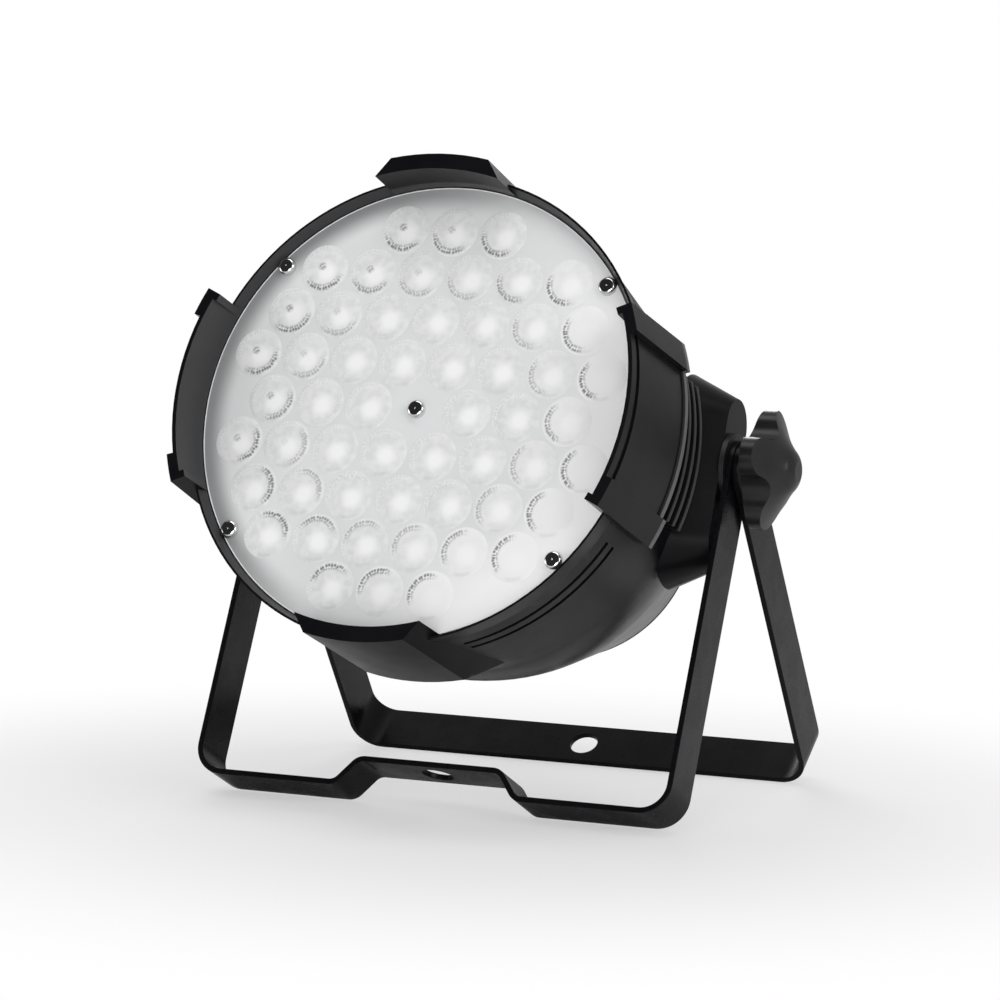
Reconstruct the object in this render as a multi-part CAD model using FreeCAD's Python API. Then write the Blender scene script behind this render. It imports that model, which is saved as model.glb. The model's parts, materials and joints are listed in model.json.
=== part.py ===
import FreeCAD, Part
import math
import os

# LED par light on a folding two-leg bracket, modelled in millimetres.
# Object frame: +X is the lamp's right, -Y is the front, +Z is up. The light stands on Z = 0 on the
# crossbars of its two brackets, and the origin lies on the floor below the middle of its box.
# The head is modelled in a frame of its own: X right, Y up, Z forward along the lamp's axis.

Vec = FreeCAD.Vector
X_AXIS, Y_AXIS, Z_AXIS = Vec(1, 0, 0), Vec(0, 1, 0), Vec(0, 0, 1)
ORIGIN = Vec(0, 0, 0)
quarter, half_turn, full_turn = 90.0, 180.0, 360.0
quarter_clocks = (0, quarter, half_turn, half_turn + quarter)
upright_share = 0.99

# Poses at rest, in degrees
head_tilt = 20.9
front_lean = 24.85
rear_lean = 35.2

# General fits and tools
running_gap = 0.08
loose_gap = 0.3
panel_gap = 0.15
overrun = 5.0

# Bell housing, radii and stations along the lamp's axis
rim_r = 103.4
rim_wall = 3.0
rim_lip = 1.0
rim_lead = 5.4
rim_band = 12.7
neck_step = 2.2
shoulder_step = 4.9
haunch_step = 2.9
cone_step = 7.9
tail_share = 0.563
neck_r = rim_r - neck_step
shoulder_z = 24.0
shoulder_r = neck_r - shoulder_step
haunch_z = 0.0
haunch_r = shoulder_r - haunch_step
cone_z = -26.0
cone_r = haunch_r - cone_step
tail_z = -94.0
tail_r = rim_r * tail_share
wall = 2.6
plate_ledge_width = 6.9
plate_ledge_h = 3.0

# Front: lens plate and lenses
lens_pitch = 23.0
lens_rows = 4
lens_columns = 5
lens_edge_margin = 14.9
plate_turn = -1.7
lens_r = 10.25
lens_hole_gap = 0.2
lens_proud = 1.0
lens_cup_r = 8.6
lens_cup_floor_r = 7.2
lens_cup_depth = 5.5
lens_barrel_len = 3.4
lens_tip_r = 3.4
plate_front = 93.3
plate_thick = 2.0
plate_gap = 0.4

# Pan head screws
plate_screw_inset = 4.2
plate_screw_clock = 38.3
m4_r = 2.0
m4_head_r = 4.0
m4_head_h = 2.6
m4_dome_h = 0.9
m4_len = 10.0
m3_r = 1.5
m3_head_r = 2.8
m3_head_h = 1.9
m3_dome_h = 0.6
m3_len = 8.0

# Lugs that stand ahead of the rim: a long one at each side, a short one at top and bottom
lug_lead = 16.3
lug_rise = 4.4
lip_rise = 0.9
lip_thick = 1.8
lug_half_clock = 24.0
lug_end_clock = 6.8
lug_end_step = 2.9
lug_end_wall_clock = 1.8
lug_rear_z = 50.0
lug_heel_z = 59.0
lug_strip = 4.5
lug_groove = 3.0
lug_groove_depth = 0.9
lug_ridge = 0.9
lug_ridge_len = 3.0
crown_rise = 3.7
crown_half_width = 21.0
crown_slope_share = 0.7
crown_half_clock = 20.0
crown_rear_z = 50.0
crown_run_z = 26.0

# Vents
vent_width = 2.8
vent_z = (75.5, 67.5)
vent_clock_start = 28.5
vent_clock_span = 43.0
gill_z = (44.5, 37.5, 30.5)
gill_half_clock = 19.0

# Trunnions: moulded pad, bolt, washers, brackets and knobs, stacked outward along X
pivot_up = 9.3
pad_face_step = 3.9
pad_face_x = rim_r + pad_face_step
pad_half_depth = 12.5
pad_top = 40.0
pad_bottom = -36.0
pad_base_inset = 7.4
pad_base_x = haunch_r - pad_base_inset
pad_base_spread = 10.0
pivot_bolt_r = 4.0
bolt_head_r = 8.0
bolt_head_h = 3.5
bolt_seat_depth = 12.3
bolt_seat_x = pad_face_x - bolt_seat_depth
bolt_tip_room = 2.0
inner_washer_r = 15.0
inner_washer_thick = 2.2
strip_width = 24.0
strip_thick = 2.5
bend_inner_r = 11.0
strip_gap = 0.3
outer_washer_r = 12.0
outer_washer_thick = 1.6
head_clearance = 46.6
trunnion_height = rim_r + head_clearance
joggle_half_flat = 32.7
joggle_height = 11.5
joggle_run = 9.3
joggle_inner_r = 5.0
front_hole_r = 7.0
rear_hole_r = 6.5

# Clamping knobs
knob_tip_r = 26.5
lobe_r = 8.5
valley_r = 9.0
lobe_count = 4
knob_rear_r = 12.5
knob_rear_taper = 3.5
lobe_thick = 9.0
hub_r = 9.5
hub_len = 6.0
hub_dome_h = 3.0
knob_sweep_r = 15.0
knob_crown_share = 0.33
insert_r = 6.5
insert_len = 13.0

# Light engine
led_size = 3.5
led_height = 0.8
led_gap = 0.3
board_thick = 1.6
board_inset = 13.1
board_r = rim_r - board_inset
sink_base_thick = 4.0
sink_wall_gap = 0.4
fin_len = 27.9
fin_inset = 15.4
fin_r = rim_r - fin_inset
fin_thick = 2.0
fin_pitch = 12.0
fin_half_count = 7
boss_r = 4.6
boss_depth = 22.0
notch_gap = 0.6
sink_screw_inset = 10.0
sink_screw_r = rim_r - sink_screw_inset
sink_pad_half_width = 6.0
sink_pad_inset = 13.9
sink_pad_inner_r = rim_r - sink_pad_inset
sink_pad_h = 14.0
standoff_r = 4.0

# Fan behind the heat sink
fan_size = 80.0
fan_thick = 15.0
fan_bore_r = 37.5
fan_screw_offset = 35.75
fan_post_r = 4.0
fan_hub_r = 16.0
fan_strut = 2.4
fan_strut_width = 5.0
fan_strut_reach = 38.5
fan_cup_len = 10.5
fan_blade_r = 36.6
fan_blade_count = 7
fan_blade_thick = 1.4
fan_blade_chord = 12.0
fan_blade_pitch = 38.0
fan_shaft_r = 1.5
fan_bearing_r = 4.0

# Power supply on its cross plate
cross_plate_z = 20.0
cross_plate_inset = 10.4
cross_plate_half_width = haunch_r - cross_plate_inset
cross_plate_half_height = 33.0
cross_plate_thick = 1.6
cross_pad_inset = 9.0
cross_pad_inner_x = cross_plate_half_width - cross_pad_inset
cross_pad_half_height = 12.0
cross_pad_h = 9.0
cross_screw_inset = 4.0
cross_screw_x = cross_plate_half_width - cross_screw_inset
supply_width_share = 0.6627
supply_half_width = cross_plate_half_width * supply_width_share
supply_half_height = 31.0
supply_depth = 32.0
supply_terminal = 14.0
supply_terminal_height = 12.0

# Rear cover and what it carries
cover_thick = 3.0
cover_gap = 0.4
cover_r = tail_r - cover_gap
cover_edge_bevel = 1.0
cover_screw_inset = 10.7
cover_screw_r = tail_r - cover_screw_inset
cover_screw_clocks = (20.0, 160.0, 240.0, 300.0)
cover_boss_depth = 20.0
window_half_width = 22.0
window_half_height = 8.0
window_up = 28.0
window_thick = 2.0
button_r = 4.0
button_flange_r = 5.0
button_flange_h = 1.5
button_proud = 2.0
button_up = 11.5
button_pitch = 13.0
button_names = ("button_menu", "button_down", "button_up", "button_enter")
control_half_width = 38.0
control_bottom = 7.0
control_top = 37.0
control_offset = 7.0
control_post_r = 2.5
control_post_x = 34.5
control_post_inset = 3.8
display_half_width = 20.0
display_half_height = 7.5
display_depth = 6.2
switch_half = 3.0
switch_height = 3.5
plunger_r = 1.75
plunger_height = 0.5
xlr_x = 31.0
xlr_down = 12.0
xlr_flange_half_width = 13.0
xlr_flange_half_height = 15.5
xlr_flange_thick = 2.0
xlr_flange_corner_r = 2.0
xlr_barrel_r = 11.8
xlr_cup_r = 9.6
xlr_depth = 22.0
xlr_cup_depth = 15.0
xlr_pin_r = 1.2
xlr_pin_ring_r = 3.9
xlr_pin_clocks = (-90, 30, 150)
xlr_pin_len = 12.0
xlr_screw_x = 9.5
xlr_screw_y = 12.2
xlr_insert_gap = 0.25
latch_width = 7.0
latch_height = 3.4
latch_drop = 1.0
latch_proud = 3.0
latch_depth = 6.0
inlet_down = 36.0
inlet_flange_half_width = 15.5
inlet_flange_half_height = 13.0
inlet_half_width = 13.3
inlet_half_height = 9.8
inlet_cup_half_width = 12.0
inlet_cup_half_height = 8.25
inlet_cup_depth = 14.0
inlet_depth = 20.0
inlet_blade_thick = 2.0
inlet_blade_height = 4.0
inlet_blade_len = 11.0
inlet_blade_pitch = 7.0
inlet_blade_offset = 2.0


# Small geometry helpers

def polygon(points):
    return Part.Face(Part.makePolygon(list(points) + [points[0]]))


def turned(section, start=0.0, sweep=full_turn):
    """Turn a section of (radius, z) points about the lamp's axis, from a clock angle."""
    face = polygon([Vec(r, 0, z) for r, z in section])
    solid = face.revolve(ORIGIN, Z_AXIS, sweep)
    solid.rotate(ORIGIN, Z_AXIS, start)
    return solid


def disc(radius, z_low, z_high, x=0.0, y=0.0):
    return Part.makeCylinder(radius, z_high - z_low, Vec(x, y, z_low))


def block(x_low, x_high, y_low, y_high, z_low, z_high):
    return Part.makeBox(x_high - x_low, y_high - y_low, z_high - z_low, Vec(x_low, y_low, z_low))


def cross_disc(radius, x_low, x_high, y=0.0, z=0.0):
    """A cylinder along X between two stations."""
    return Part.makeCylinder(radius, x_high - x_low, Vec(x_low, y, z), X_AXIS)


def polar(radius, clock):
    return radius * math.cos(math.radians(clock)), radius * math.sin(math.radians(clock))


def mirrored(shape):
    return shape.mirror(ORIGIN, X_AXIS)


def rounded_block(half_width, half_height, z_low, z_high, corner_r):
    body = block(-half_width, half_width, -half_height, half_height, z_low, z_high)
    upright = [e for e in body.Edges if abs(e.tangentAt(e.FirstParameter).z) > upright_share]
    return body.makeFillet(corner_r, upright)


def united(shapes):
    first = shapes[0]
    return first.fuse(shapes[1:]).removeSplitter() if len(shapes) > 1 else first


def group(shapes):
    return Part.makeCompound(shapes)


# Values that follow from the ones above

plate_back = plate_front - plate_thick
rim_front = plate_front + rim_lead
bore_r = rim_r - rim_wall
plate_r = bore_r - plate_gap
lug_front = rim_front + lug_lead
lug_r = rim_r + lug_rise
lip_r = rim_r + lip_rise
lip_inner_r = lip_r - lip_thick
crown_r = rim_r + crown_rise
crown_foot_half_width = crown_half_width + crown_r * crown_slope_share
flank_r = neck_r - wall
plate_ledge_r = bore_r - plate_ledge_width
plate_screw_r = bore_r - plate_screw_inset
lens_reach = plate_r - lens_edge_margin
lens_front = plate_front + lens_proud
lens_back = lens_front - lens_cup_depth - lens_barrel_len - lens_proud
led_top = lens_back - led_gap
board_front = led_top - led_height
board_back = board_front - board_thick
sink_back = board_back - sink_base_thick
fin_end = sink_back - fin_len
fan_back = fin_end - fan_thick
cross_plate_front = cross_plate_z + cross_plate_thick
cover_back = tail_z - cover_thick
control_back = tail_z + control_offset
control_front = control_back + board_thick
leg_inner_x = pad_face_x + inner_washer_thick + loose_gap
front_outer_x = leg_inner_x + strip_thick
rear_inner_x = front_outer_x + strip_gap
rear_outer_x = rear_inner_x + strip_thick
outer_washer_x = rear_outer_x + panel_gap
knob_x = outer_washer_x + outer_washer_thick + panel_gap
bolt_end_x = knob_x + insert_len - bolt_tip_room
pivot_hole_r = pivot_bolt_r + running_gap
half_strip = strip_width / 2


def reach_to_floor(lean):
    """Distance from the pivot to a crossbar's outer face, so that its lower edge is on the floor."""
    angle = math.radians(lean)
    return (trunnion_height - half_strip * math.sin(angle)) / math.cos(angle)


front_reach = reach_to_floor(front_lean)
rear_reach = reach_to_floor(rear_lean)


def bell_outline(offset=0.0):
    """The bell's outline from rim to tail, moved inward by an offset, as (radius, z) points."""
    return [
        (neck_r - offset, rim_front - rim_band),
        (shoulder_r - offset, shoulder_z),
        (haunch_r - offset, haunch_z),
        (cone_r - offset, cone_z),
        (tail_r - offset, tail_z),
    ]


def bell_solid(offset, front_z, front_r):
    """The filled bell, with a smooth curve from its nearly straight flank into its cone."""
    neck, shoulder, haunch, cone, tail = [Vec(r, 0, z) for r, z in bell_outline(offset)]
    flank = Part.makePolygon([Vec(0, 0, tail_z), tail, cone])
    curve = Part.Arc(cone, haunch, shoulder).toShape()
    run = [Vec(0, 0, front_z), Vec(0, 0, tail_z)]
    lip = [shoulder, neck, Vec(front_r, 0, front_z), run[0]]
    edges = flank.Edges + [curve] + Part.makePolygon(lip).Edges + Part.makePolygon(run).Edges
    return Part.Face(Part.Wire(Part.__sortEdges__(edges))).revolve(ORIGIN, Z_AXIS, full_turn)


# Housing

def lug_slice(inner_front_r, rise, rear_z, start, sweep):
    """A sector of the side lug's section: flared inside, slightly flared outside, closed down to the bell."""
    return turned([(bore_r, rim_front - rim_band), (bore_r, plate_front), (inner_front_r, lug_front),
                   (lip_r + rise, lug_front), (lug_r + rise, lug_heel_z), (flank_r, rear_z),
                   (flank_r, rim_front - rim_band)], start, sweep)


def lug_outer_r(z):
    """The radius of the side lug's outer surface at a station between its heel and its lip."""
    return lug_r + (lip_r - lug_r) * (z - lug_heel_z) / (lug_front - lug_heel_z)


def lug_band(depth_low, depth_high, z_low, z_high):
    """A band that follows the side lug's outer surface between its end blocks, by depths below it."""
    start = -lug_half_clock + lug_end_clock
    low_r, high_r = lug_outer_r(z_low), lug_outer_r(z_high)
    return turned([(low_r - depth_low, z_low), (high_r - depth_low, z_high),
                   (high_r - depth_high, z_high), (low_r - depth_high, z_low)], start, -2 * start)


def side_lug():
    """The right lug: a flared skin ahead of the rim, with a groove, a rear ridge and two end blocks."""
    pieces = [lug_slice(lip_inner_r, 0, lug_rear_z, -lug_half_clock, 2 * lug_half_clock)]
    for start in (-lug_half_clock, lug_half_clock - lug_end_clock):
        pieces.append(lug_slice(lip_inner_r, lug_end_step, lug_heel_z, start, lug_end_clock))
    for start in (-lug_half_clock, lug_half_clock - lug_end_wall_clock):
        pieces.append(lug_slice(bore_r, 0, lug_rear_z, start, lug_end_wall_clock))
    pieces.append(lug_band(lug_ridge, -lug_ridge, lug_heel_z, lug_heel_z + lug_ridge_len))
    groove_high = lug_front - lug_strip
    groove = lug_band(lug_groove_depth, -overrun, groove_high - lug_groove, groove_high)
    return united(pieces).cut(groove)


def crown_lug():
    """The top lug: a short block over the rim with an arched top and sloping ends, run back onto the bell."""
    ring = turned([(bore_r, rim_front - rim_band), (bore_r, lug_front), (crown_r, lug_front),
                   (crown_r, crown_rear_z), (shoulder_r - wall, crown_run_z),
                   (flank_r, rim_front - rim_band)], quarter - crown_half_clock,
                  2 * crown_half_clock)
    trapezoid = polygon([Vec(-crown_foot_half_width, 0, 0), Vec(crown_foot_half_width, 0, 0),
                         Vec(crown_half_width, crown_r, 0), Vec(-crown_half_width, crown_r, 0)])
    prism = trapezoid.extrude(Vec(0, 0, lug_front + overrun))
    return ring.common(prism)


def obround(x, z_half, y_low, y_high):
    """A closed wire in a plane across X, with round ends."""
    low, high = y_low + z_half, y_high - z_half
    side_back = Part.makeLine(Vec(x, low, -z_half), Vec(x, high, -z_half))
    top = Part.Arc(Vec(x, high, -z_half), Vec(x, y_high, 0), Vec(x, high, z_half)).toShape()
    side_front = Part.makeLine(Vec(x, high, z_half), Vec(x, low, z_half))
    bottom = Part.Arc(Vec(x, low, z_half), Vec(x, y_low, 0), Vec(x, low, -z_half)).toShape()
    return Part.Wire([side_back, top, side_front, bottom])


def trunnion_pad():
    """The right trunnion pad: an obround that spreads as it meets the bell."""
    foot = obround(pad_base_x, pad_half_depth + pad_base_spread,
                   pad_bottom - pad_base_spread, pad_top + pad_base_spread)
    face = obround(pad_face_x, pad_half_depth, pad_bottom, pad_top)
    return Part.makeLoft([foot, face], True, True)


def wall_post(radius, clock, post_r, z_low, z_high):
    """A screw post with a web that joins it to the bell's wall."""
    x, y = polar(radius, clock)
    web = block(radius, rim_r, -post_r, post_r, z_low, z_high)
    web.rotate(ORIGIN, Z_AXIS, clock)
    return disc(post_r, z_low, z_high, x, y).fuse(web)


def plate_screw_clocks():
    clock = plate_screw_clock
    return [c + plate_turn for c in (clock, half_turn - clock, half_turn + clock, full_turn - clock)]


def vent(z, start, span):
    half = vent_width / 2
    low_r = shoulder_r - 2 * wall - overrun
    high_r = rim_r
    return turned([(low_r, z - half), (high_r, z - half), (high_r, z + half), (low_r, z + half)],
                  start, span)


def housing_vents():
    cuts = []
    for quadrant in range(4):
        lead = vent_clock_start if quadrant % 2 == 0 else quarter - vent_clock_start - vent_clock_span
        start = quadrant * quarter + lead
        cuts += [vent(z, start, vent_clock_span) for z in vent_z]
    for side in (0, half_turn):
        cuts += [vent(z, side - gill_half_clock, 2 * gill_half_clock) for z in gill_z]
    return cuts


def housing_shell():
    flare = Part.makeCone(bore_r, rim_r - rim_lip, rim_lead, Vec(0, 0, plate_front))
    outer = bell_solid(0, rim_front, rim_r).cut(flare)
    right = [side_lug(), trunnion_pad()]
    top = crown_lug()
    bottom = top.mirror(ORIGIN, Y_AXIS)
    solid = outer.fuse(right + [mirrored(s) for s in right] + [top, bottom])
    cavity = bell_solid(wall, plate_back, flank_r)
    ledge_back = plate_back - plate_ledge_h
    ledge = turned([(plate_ledge_r, plate_back), (neck_r, plate_back),
                    (neck_r, ledge_back - plate_ledge_h), (neck_r - wall, ledge_back - plate_ledge_h),
                    (plate_ledge_r, ledge_back)])
    posts = [wall_post(plate_screw_r, c, boss_r, plate_back - boss_depth, plate_back)
             for c in plate_screw_clocks()]
    posts += [wall_post(cover_screw_r, c, boss_r, tail_z, tail_z + cover_boss_depth)
              for c in cover_screw_clocks]
    for clock in quarter_clocks:
        pad = block(sink_pad_inner_r, rim_r, -sink_pad_half_width, sink_pad_half_width,
                    sink_back - sink_pad_h, sink_back)
        pad.rotate(ORIGIN, Z_AXIS, clock)
        posts.append(pad)
    cross_pad = block(cross_pad_inner_x, rim_r, -cross_pad_half_height, cross_pad_half_height,
                      cross_plate_z - cross_pad_h, cross_plate_z)
    posts += [cross_pad, mirrored(cross_pad)]
    inside = [outer.common(p) for p in posts + [ledge]]
    plate_recess = disc(bore_r, plate_back, lug_front + overrun)
    shell = solid.cut([cavity]).fuse(inside)
    cuts = [plate_recess] + housing_vents() + housing_holes()
    return shell.cut(cuts).removeSplitter()


def housing_holes():
    holes = []
    for clock in plate_screw_clocks():
        x, y = polar(plate_screw_r, clock)
        holes.append(disc(m4_r + running_gap, plate_back - m4_len, plate_back + overrun, x, y))
    for clock in cover_screw_clocks:
        x, y = polar(cover_screw_r, clock)
        holes.append(disc(m3_r + running_gap, tail_z - overrun, tail_z + m3_len, x, y))
    for clock in quarter_clocks:
        x, y = polar(sink_screw_r, clock)
        holes.append(disc(m3_r + running_gap, sink_back - m3_len, sink_back + overrun, x, y))
    for side in (-1, 1):
        holes.append(disc(m4_r + running_gap, cross_plate_z - m3_len, cross_plate_z + overrun,
                          side * cross_screw_x, 0))
        bolt = cross_disc(pivot_hole_r, pad_base_x - overrun, pad_face_x + overrun, pivot_up)
        seat = cross_disc(bolt_head_r + loose_gap, pad_base_x - overrun, bolt_seat_x, pivot_up)
        holes += [bolt, seat] if side > 0 else [mirrored(bolt), mirrored(seat)]
    return holes


# Screws

def pan_screw(radius, head_r, head_h, dome_h, length, seat, direction):
    """A pan head screw whose head sits on a plane across Z; direction is where the head points."""
    head = Part.makeCylinder(head_r, head_h - dome_h)
    dome = Part.makeCone(head_r, head_r - dome_h, dome_h, Vec(0, 0, head_h - dome_h))
    shank = Part.makeCylinder(radius, length, Vec(0, 0, -length))
    screw = united([head, dome, shank])
    if direction < 0:
        screw.rotate(ORIGIN, X_AXIS, half_turn)
    screw.translate(seat)
    return screw


def m4_screw(seat, direction=1, length=m4_len):
    return pan_screw(m4_r, m4_head_r, m4_head_h, m4_dome_h, length, seat, direction)


def m3_screw(seat, direction=1, length=m3_len):
    return pan_screw(m3_r, m3_head_r, m3_head_h, m3_dome_h, length, seat, direction)


def plate_screws():
    seats = [Vec(*polar(plate_screw_r, c), plate_front) for c in plate_screw_clocks()]
    return group([m4_screw(s) for s in seats + [Vec(0, 0, plate_front)]])


def cover_screws():
    return group([m3_screw(Vec(*polar(cover_screw_r, c), cover_back), -1) for c in cover_screw_clocks])


def heat_sink_screws():
    length = sink_base_thick + m3_len / 2
    return group([m3_screw(Vec(*polar(sink_screw_r, c), board_back), 1, length) for c in quarter_clocks])


# Optics and light engine

def lens_centres():
    """The lattice points within reach, row by row, without the middle one that the screw takes."""
    centres = []
    row_step = lens_pitch * math.sqrt(3) / 2
    cos_turn = math.cos(math.radians(plate_turn))
    sin_turn = math.sin(math.radians(plate_turn))
    for row in range(-lens_rows, lens_rows + 1):
        for col in range(-lens_columns, lens_columns + 1):
            x = (col + (row % 2) / 2) * lens_pitch
            y = row * row_step
            if 0 < math.hypot(x, y) <= lens_reach:
                centres.append((x * cos_turn - y * sin_turn, x * sin_turn + y * cos_turn))
    return centres


def lens_plate():
    plate = disc(plate_r, plate_back, plate_front)
    holes = [disc(lens_r + lens_hole_gap, plate_back - overrun, plate_front + overrun, x, y)
             for x, y in lens_centres()]
    for x, y in [polar(plate_screw_r, c) for c in plate_screw_clocks()] + [(0, 0)]:
        holes.append(disc(m4_r + running_gap, plate_back - overrun, plate_front + overrun, x, y))
    return plate.cut(holes)


def lenses():
    barrel_back = lens_front - lens_proud - lens_barrel_len
    lens = turned([(0, lens_back), (lens_tip_r, lens_back), (lens_r, barrel_back), (lens_r, lens_front),
                   (lens_cup_r, lens_front), (lens_cup_floor_r, lens_front - lens_cup_depth),
                   (0, lens_front - lens_cup_depth)])
    return group([lens.translated(Vec(x, y, 0)) for x, y in lens_centres()])


def led_emitters():
    half = led_size / 2
    chip = block(-half, half, -half, half, board_front, led_top)
    return group([chip.translated(Vec(x, y, 0)) for x, y in lens_centres()])


def post_notches(z_low, z_high):
    cuts = []
    for clock in plate_screw_clocks():
        notch = block(plate_screw_r - boss_r - notch_gap, rim_r, -boss_r - notch_gap, boss_r + notch_gap,
                      z_low - overrun, z_high + overrun)
        notch.rotate(ORIGIN, Z_AXIS, clock)
        cuts.append(notch)
    return cuts


def led_board():
    return disc(board_r, board_back, board_front).cut(post_notches(board_back, board_front))


def centre_standoff():
    pillar = disc(standoff_r, board_front, plate_back)
    return pillar.cut(disc(m4_r + running_gap, plate_back - m4_len, plate_back + overrun))


def heat_sink():
    base_r = neck_r - wall - sink_wall_gap - plate_gap
    base = disc(base_r, sink_back, board_back).cut(post_notches(sink_back, board_back))
    middles = [i * fin_pitch for i in range(-fin_half_count, fin_half_count + 1)]
    fins = [block(x - fin_thick / 2, x + fin_thick / 2, -fin_r, fin_r, fin_end, sink_back) for x in middles]
    fins = [f.common(disc(fin_r, fin_end, sink_back)) for f in fins]
    corners = [(sx * fan_screw_offset, sy * fan_screw_offset) for sx in (-1, 1) for sy in (-1, 1)]
    posts = [disc(fan_post_r, fin_end, sink_back, x, y) for x, y in corners]
    holes = [disc(m3_r + running_gap, fin_end - overrun, fin_end + m3_len, x, y) for x, y in corners]
    for clock in quarter_clocks:
        x, y = polar(sink_screw_r, clock)
        holes.append(disc(m3_r + running_gap, sink_back - overrun, board_back + overrun, x, y))
    return united([base] + fins + posts).cut(holes)


# Fan

def fan_frame():
    frame = rounded_block(fan_size / 2, fan_size / 2, fan_back, fin_end, fan_post_r)
    frame = frame.cut(disc(fan_bore_r, fan_back - overrun, fin_end + overrun))
    hub = disc(fan_hub_r, fan_back, fan_back + fan_strut)
    strut_half = fan_strut_width / 2
    struts = [block(0, fan_strut_reach, -strut_half, strut_half, fan_back, fan_back + fan_strut)
              for _ in range(4)]
    for index, strut in enumerate(struts):
        strut.rotate(ORIGIN, Z_AXIS, quarter / 2 + quarter * index)
    bearing = disc(fan_bearing_r, fan_back, fan_back + 2 * fan_strut)
    frame = united([frame, hub, bearing] + struts)
    holes = [disc(fan_shaft_r + running_gap, fan_back - overrun, fin_end)]
    holes += [disc(m3_r + running_gap, fan_back - overrun, fin_end + overrun,
                   sx * fan_screw_offset, sy * fan_screw_offset) for sx in (-1, 1) for sy in (-1, 1)]
    return frame.cut(holes)


def fan_rotor():
    cup_back = fan_back + fan_strut + loose_gap
    cup_front = cup_back + fan_cup_len
    cup = disc(fan_hub_r, cup_back, cup_front).cut(
        disc(fan_bearing_r + loose_gap, cup_back - overrun, cup_back + fan_strut + loose_gap))
    shaft = disc(fan_shaft_r, fan_back + panel_gap, cup_front)
    blade = block(0, fan_blade_r + overrun, -fan_blade_chord / 2, fan_blade_chord / 2,
                  -fan_blade_thick / 2, fan_blade_thick / 2)
    blade.rotate(ORIGIN, X_AXIS, fan_blade_pitch)
    blade.translate(Vec(0, 0, (cup_back + cup_front) / 2))
    sweep = disc(fan_blade_r, cup_back, cup_front)
    blade = blade.common(sweep).cut(disc(fan_bearing_r + overrun, cup_back, cup_front))
    blades = []
    for index in range(fan_blade_count):
        copy = blade.copy()
        copy.rotate(ORIGIN, Z_AXIS, index * full_turn / fan_blade_count)
        blades.append(copy)
    return united([cup, shaft] + blades)


def fan_screws():
    seats = [Vec(sx * fan_screw_offset, sy * fan_screw_offset, fan_back) for sx in (-1, 1) for sy in (-1, 1)]
    return group([m3_screw(s, -1, fan_thick + m3_len / 2) for s in seats])


# Power supply

def cross_plate():
    plate = block(-cross_plate_half_width, cross_plate_half_width, -cross_plate_half_height,
                  cross_plate_half_height, cross_plate_z, cross_plate_front)
    return plate.cut([disc(m4_r + running_gap, cross_plate_z - overrun, cross_plate_front + overrun,
                           side * cross_screw_x, 0) for side in (-1, 1)])


def cross_plate_screws():
    return group([m4_screw(Vec(side * cross_screw_x, 0, cross_plate_front), 1, m3_len) for side in (-1, 1)])


def power_supply():
    case_back = cross_plate_z - supply_depth
    case = block(-supply_half_width, supply_half_width, -supply_half_height, supply_half_height,
                 case_back, cross_plate_z)
    step = block(supply_half_width - supply_terminal, supply_half_width + overrun,
                 -supply_half_height - overrun, supply_half_height + overrun,
                 case_back - overrun, case_back + supply_terminal_height)
    return case.cut(step)


# Rear cover

def rear_cover():
    cover = disc(cover_r, cover_back, tail_z)
    rim = [e for e in cover.Edges if len(e.Vertexes) == 1 and abs(e.BoundBox.ZMax - cover_back) < panel_gap]
    cover = cover.makeChamfer(cover_edge_bevel, rim)
    low, high = cover_back - overrun, tail_z + overrun
    cuts = [block(-window_half_width, window_half_width, window_up - window_half_height,
                  window_up + window_half_height, low, high)]
    cuts += [disc(button_r + panel_gap, low, high, x, button_up) for x in button_stations()]
    cuts += [disc(xlr_barrel_r + panel_gap, low, high, side * xlr_x, -xlr_down) for side in (-1, 1)]
    inlet_w = inlet_half_width + panel_gap
    inlet_h = inlet_half_height + panel_gap
    cuts.append(block(-inlet_w, inlet_w, -inlet_down - inlet_h, -inlet_down + inlet_h, low, high))
    for clock in cover_screw_clocks:
        x, y = polar(cover_screw_r, clock)
        cuts.append(disc(m3_r + running_gap, low, high, x, y))
    cuts += [disc(m3_r + running_gap, low, high, x, y) for x, y in socket_screw_places()]
    return cover.cut(cuts)


def display_window():
    half_w = window_half_width - panel_gap
    half_h = window_half_height - panel_gap
    return block(-half_w, half_w, window_up - half_h, window_up + half_h,
                 cover_back, cover_back + window_thick)


def button_stations():
    count = len(button_names)
    return [(i - (count - 1) / 2) * button_pitch for i in range(count)]


def button(x):
    cap = disc(button_r, cover_back - button_proud, tail_z + loose_gap, x, button_up)
    flange = disc(button_flange_r, tail_z + loose_gap, tail_z + loose_gap + button_flange_h, x, button_up)
    return united([cap, flange])


def tact_switches():
    switches = []
    for x in button_stations():
        body = block(x - switch_half, x + switch_half, button_up - switch_half, button_up + switch_half,
                     control_back - switch_height, control_back)
        top = control_back - switch_height
        switches.append(united([body, disc(plunger_r, top - plunger_height, top, x, button_up)]))
    return group(switches)


def control_post_places():
    return [(sx * control_post_x, y) for sx in (-1, 1)
            for y in (control_bottom + control_post_inset, control_top - control_post_inset)]


def control_board():
    return block(-control_half_width, control_half_width, control_bottom, control_top,
                 control_back, control_front)


def control_posts():
    return group([disc(control_post_r, tail_z, control_back, x, y) for x, y in control_post_places()])


def display_module():
    return block(-display_half_width, display_half_width, window_up - display_half_height,
                 window_up + display_half_height, control_back - display_depth, control_back)


def socket_screw_places():
    return [(side * xlr_x + corner * xlr_screw_x, -xlr_down + corner * xlr_screw_y)
            for side in (-1, 1) for corner in (-1, 1)]


def socket_screws():
    seat_z = cover_back - xlr_flange_thick
    return group([m3_screw(Vec(x, y, seat_z), -1, xlr_flange_thick + cover_thick)
                  for x, y in socket_screw_places()])


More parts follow.
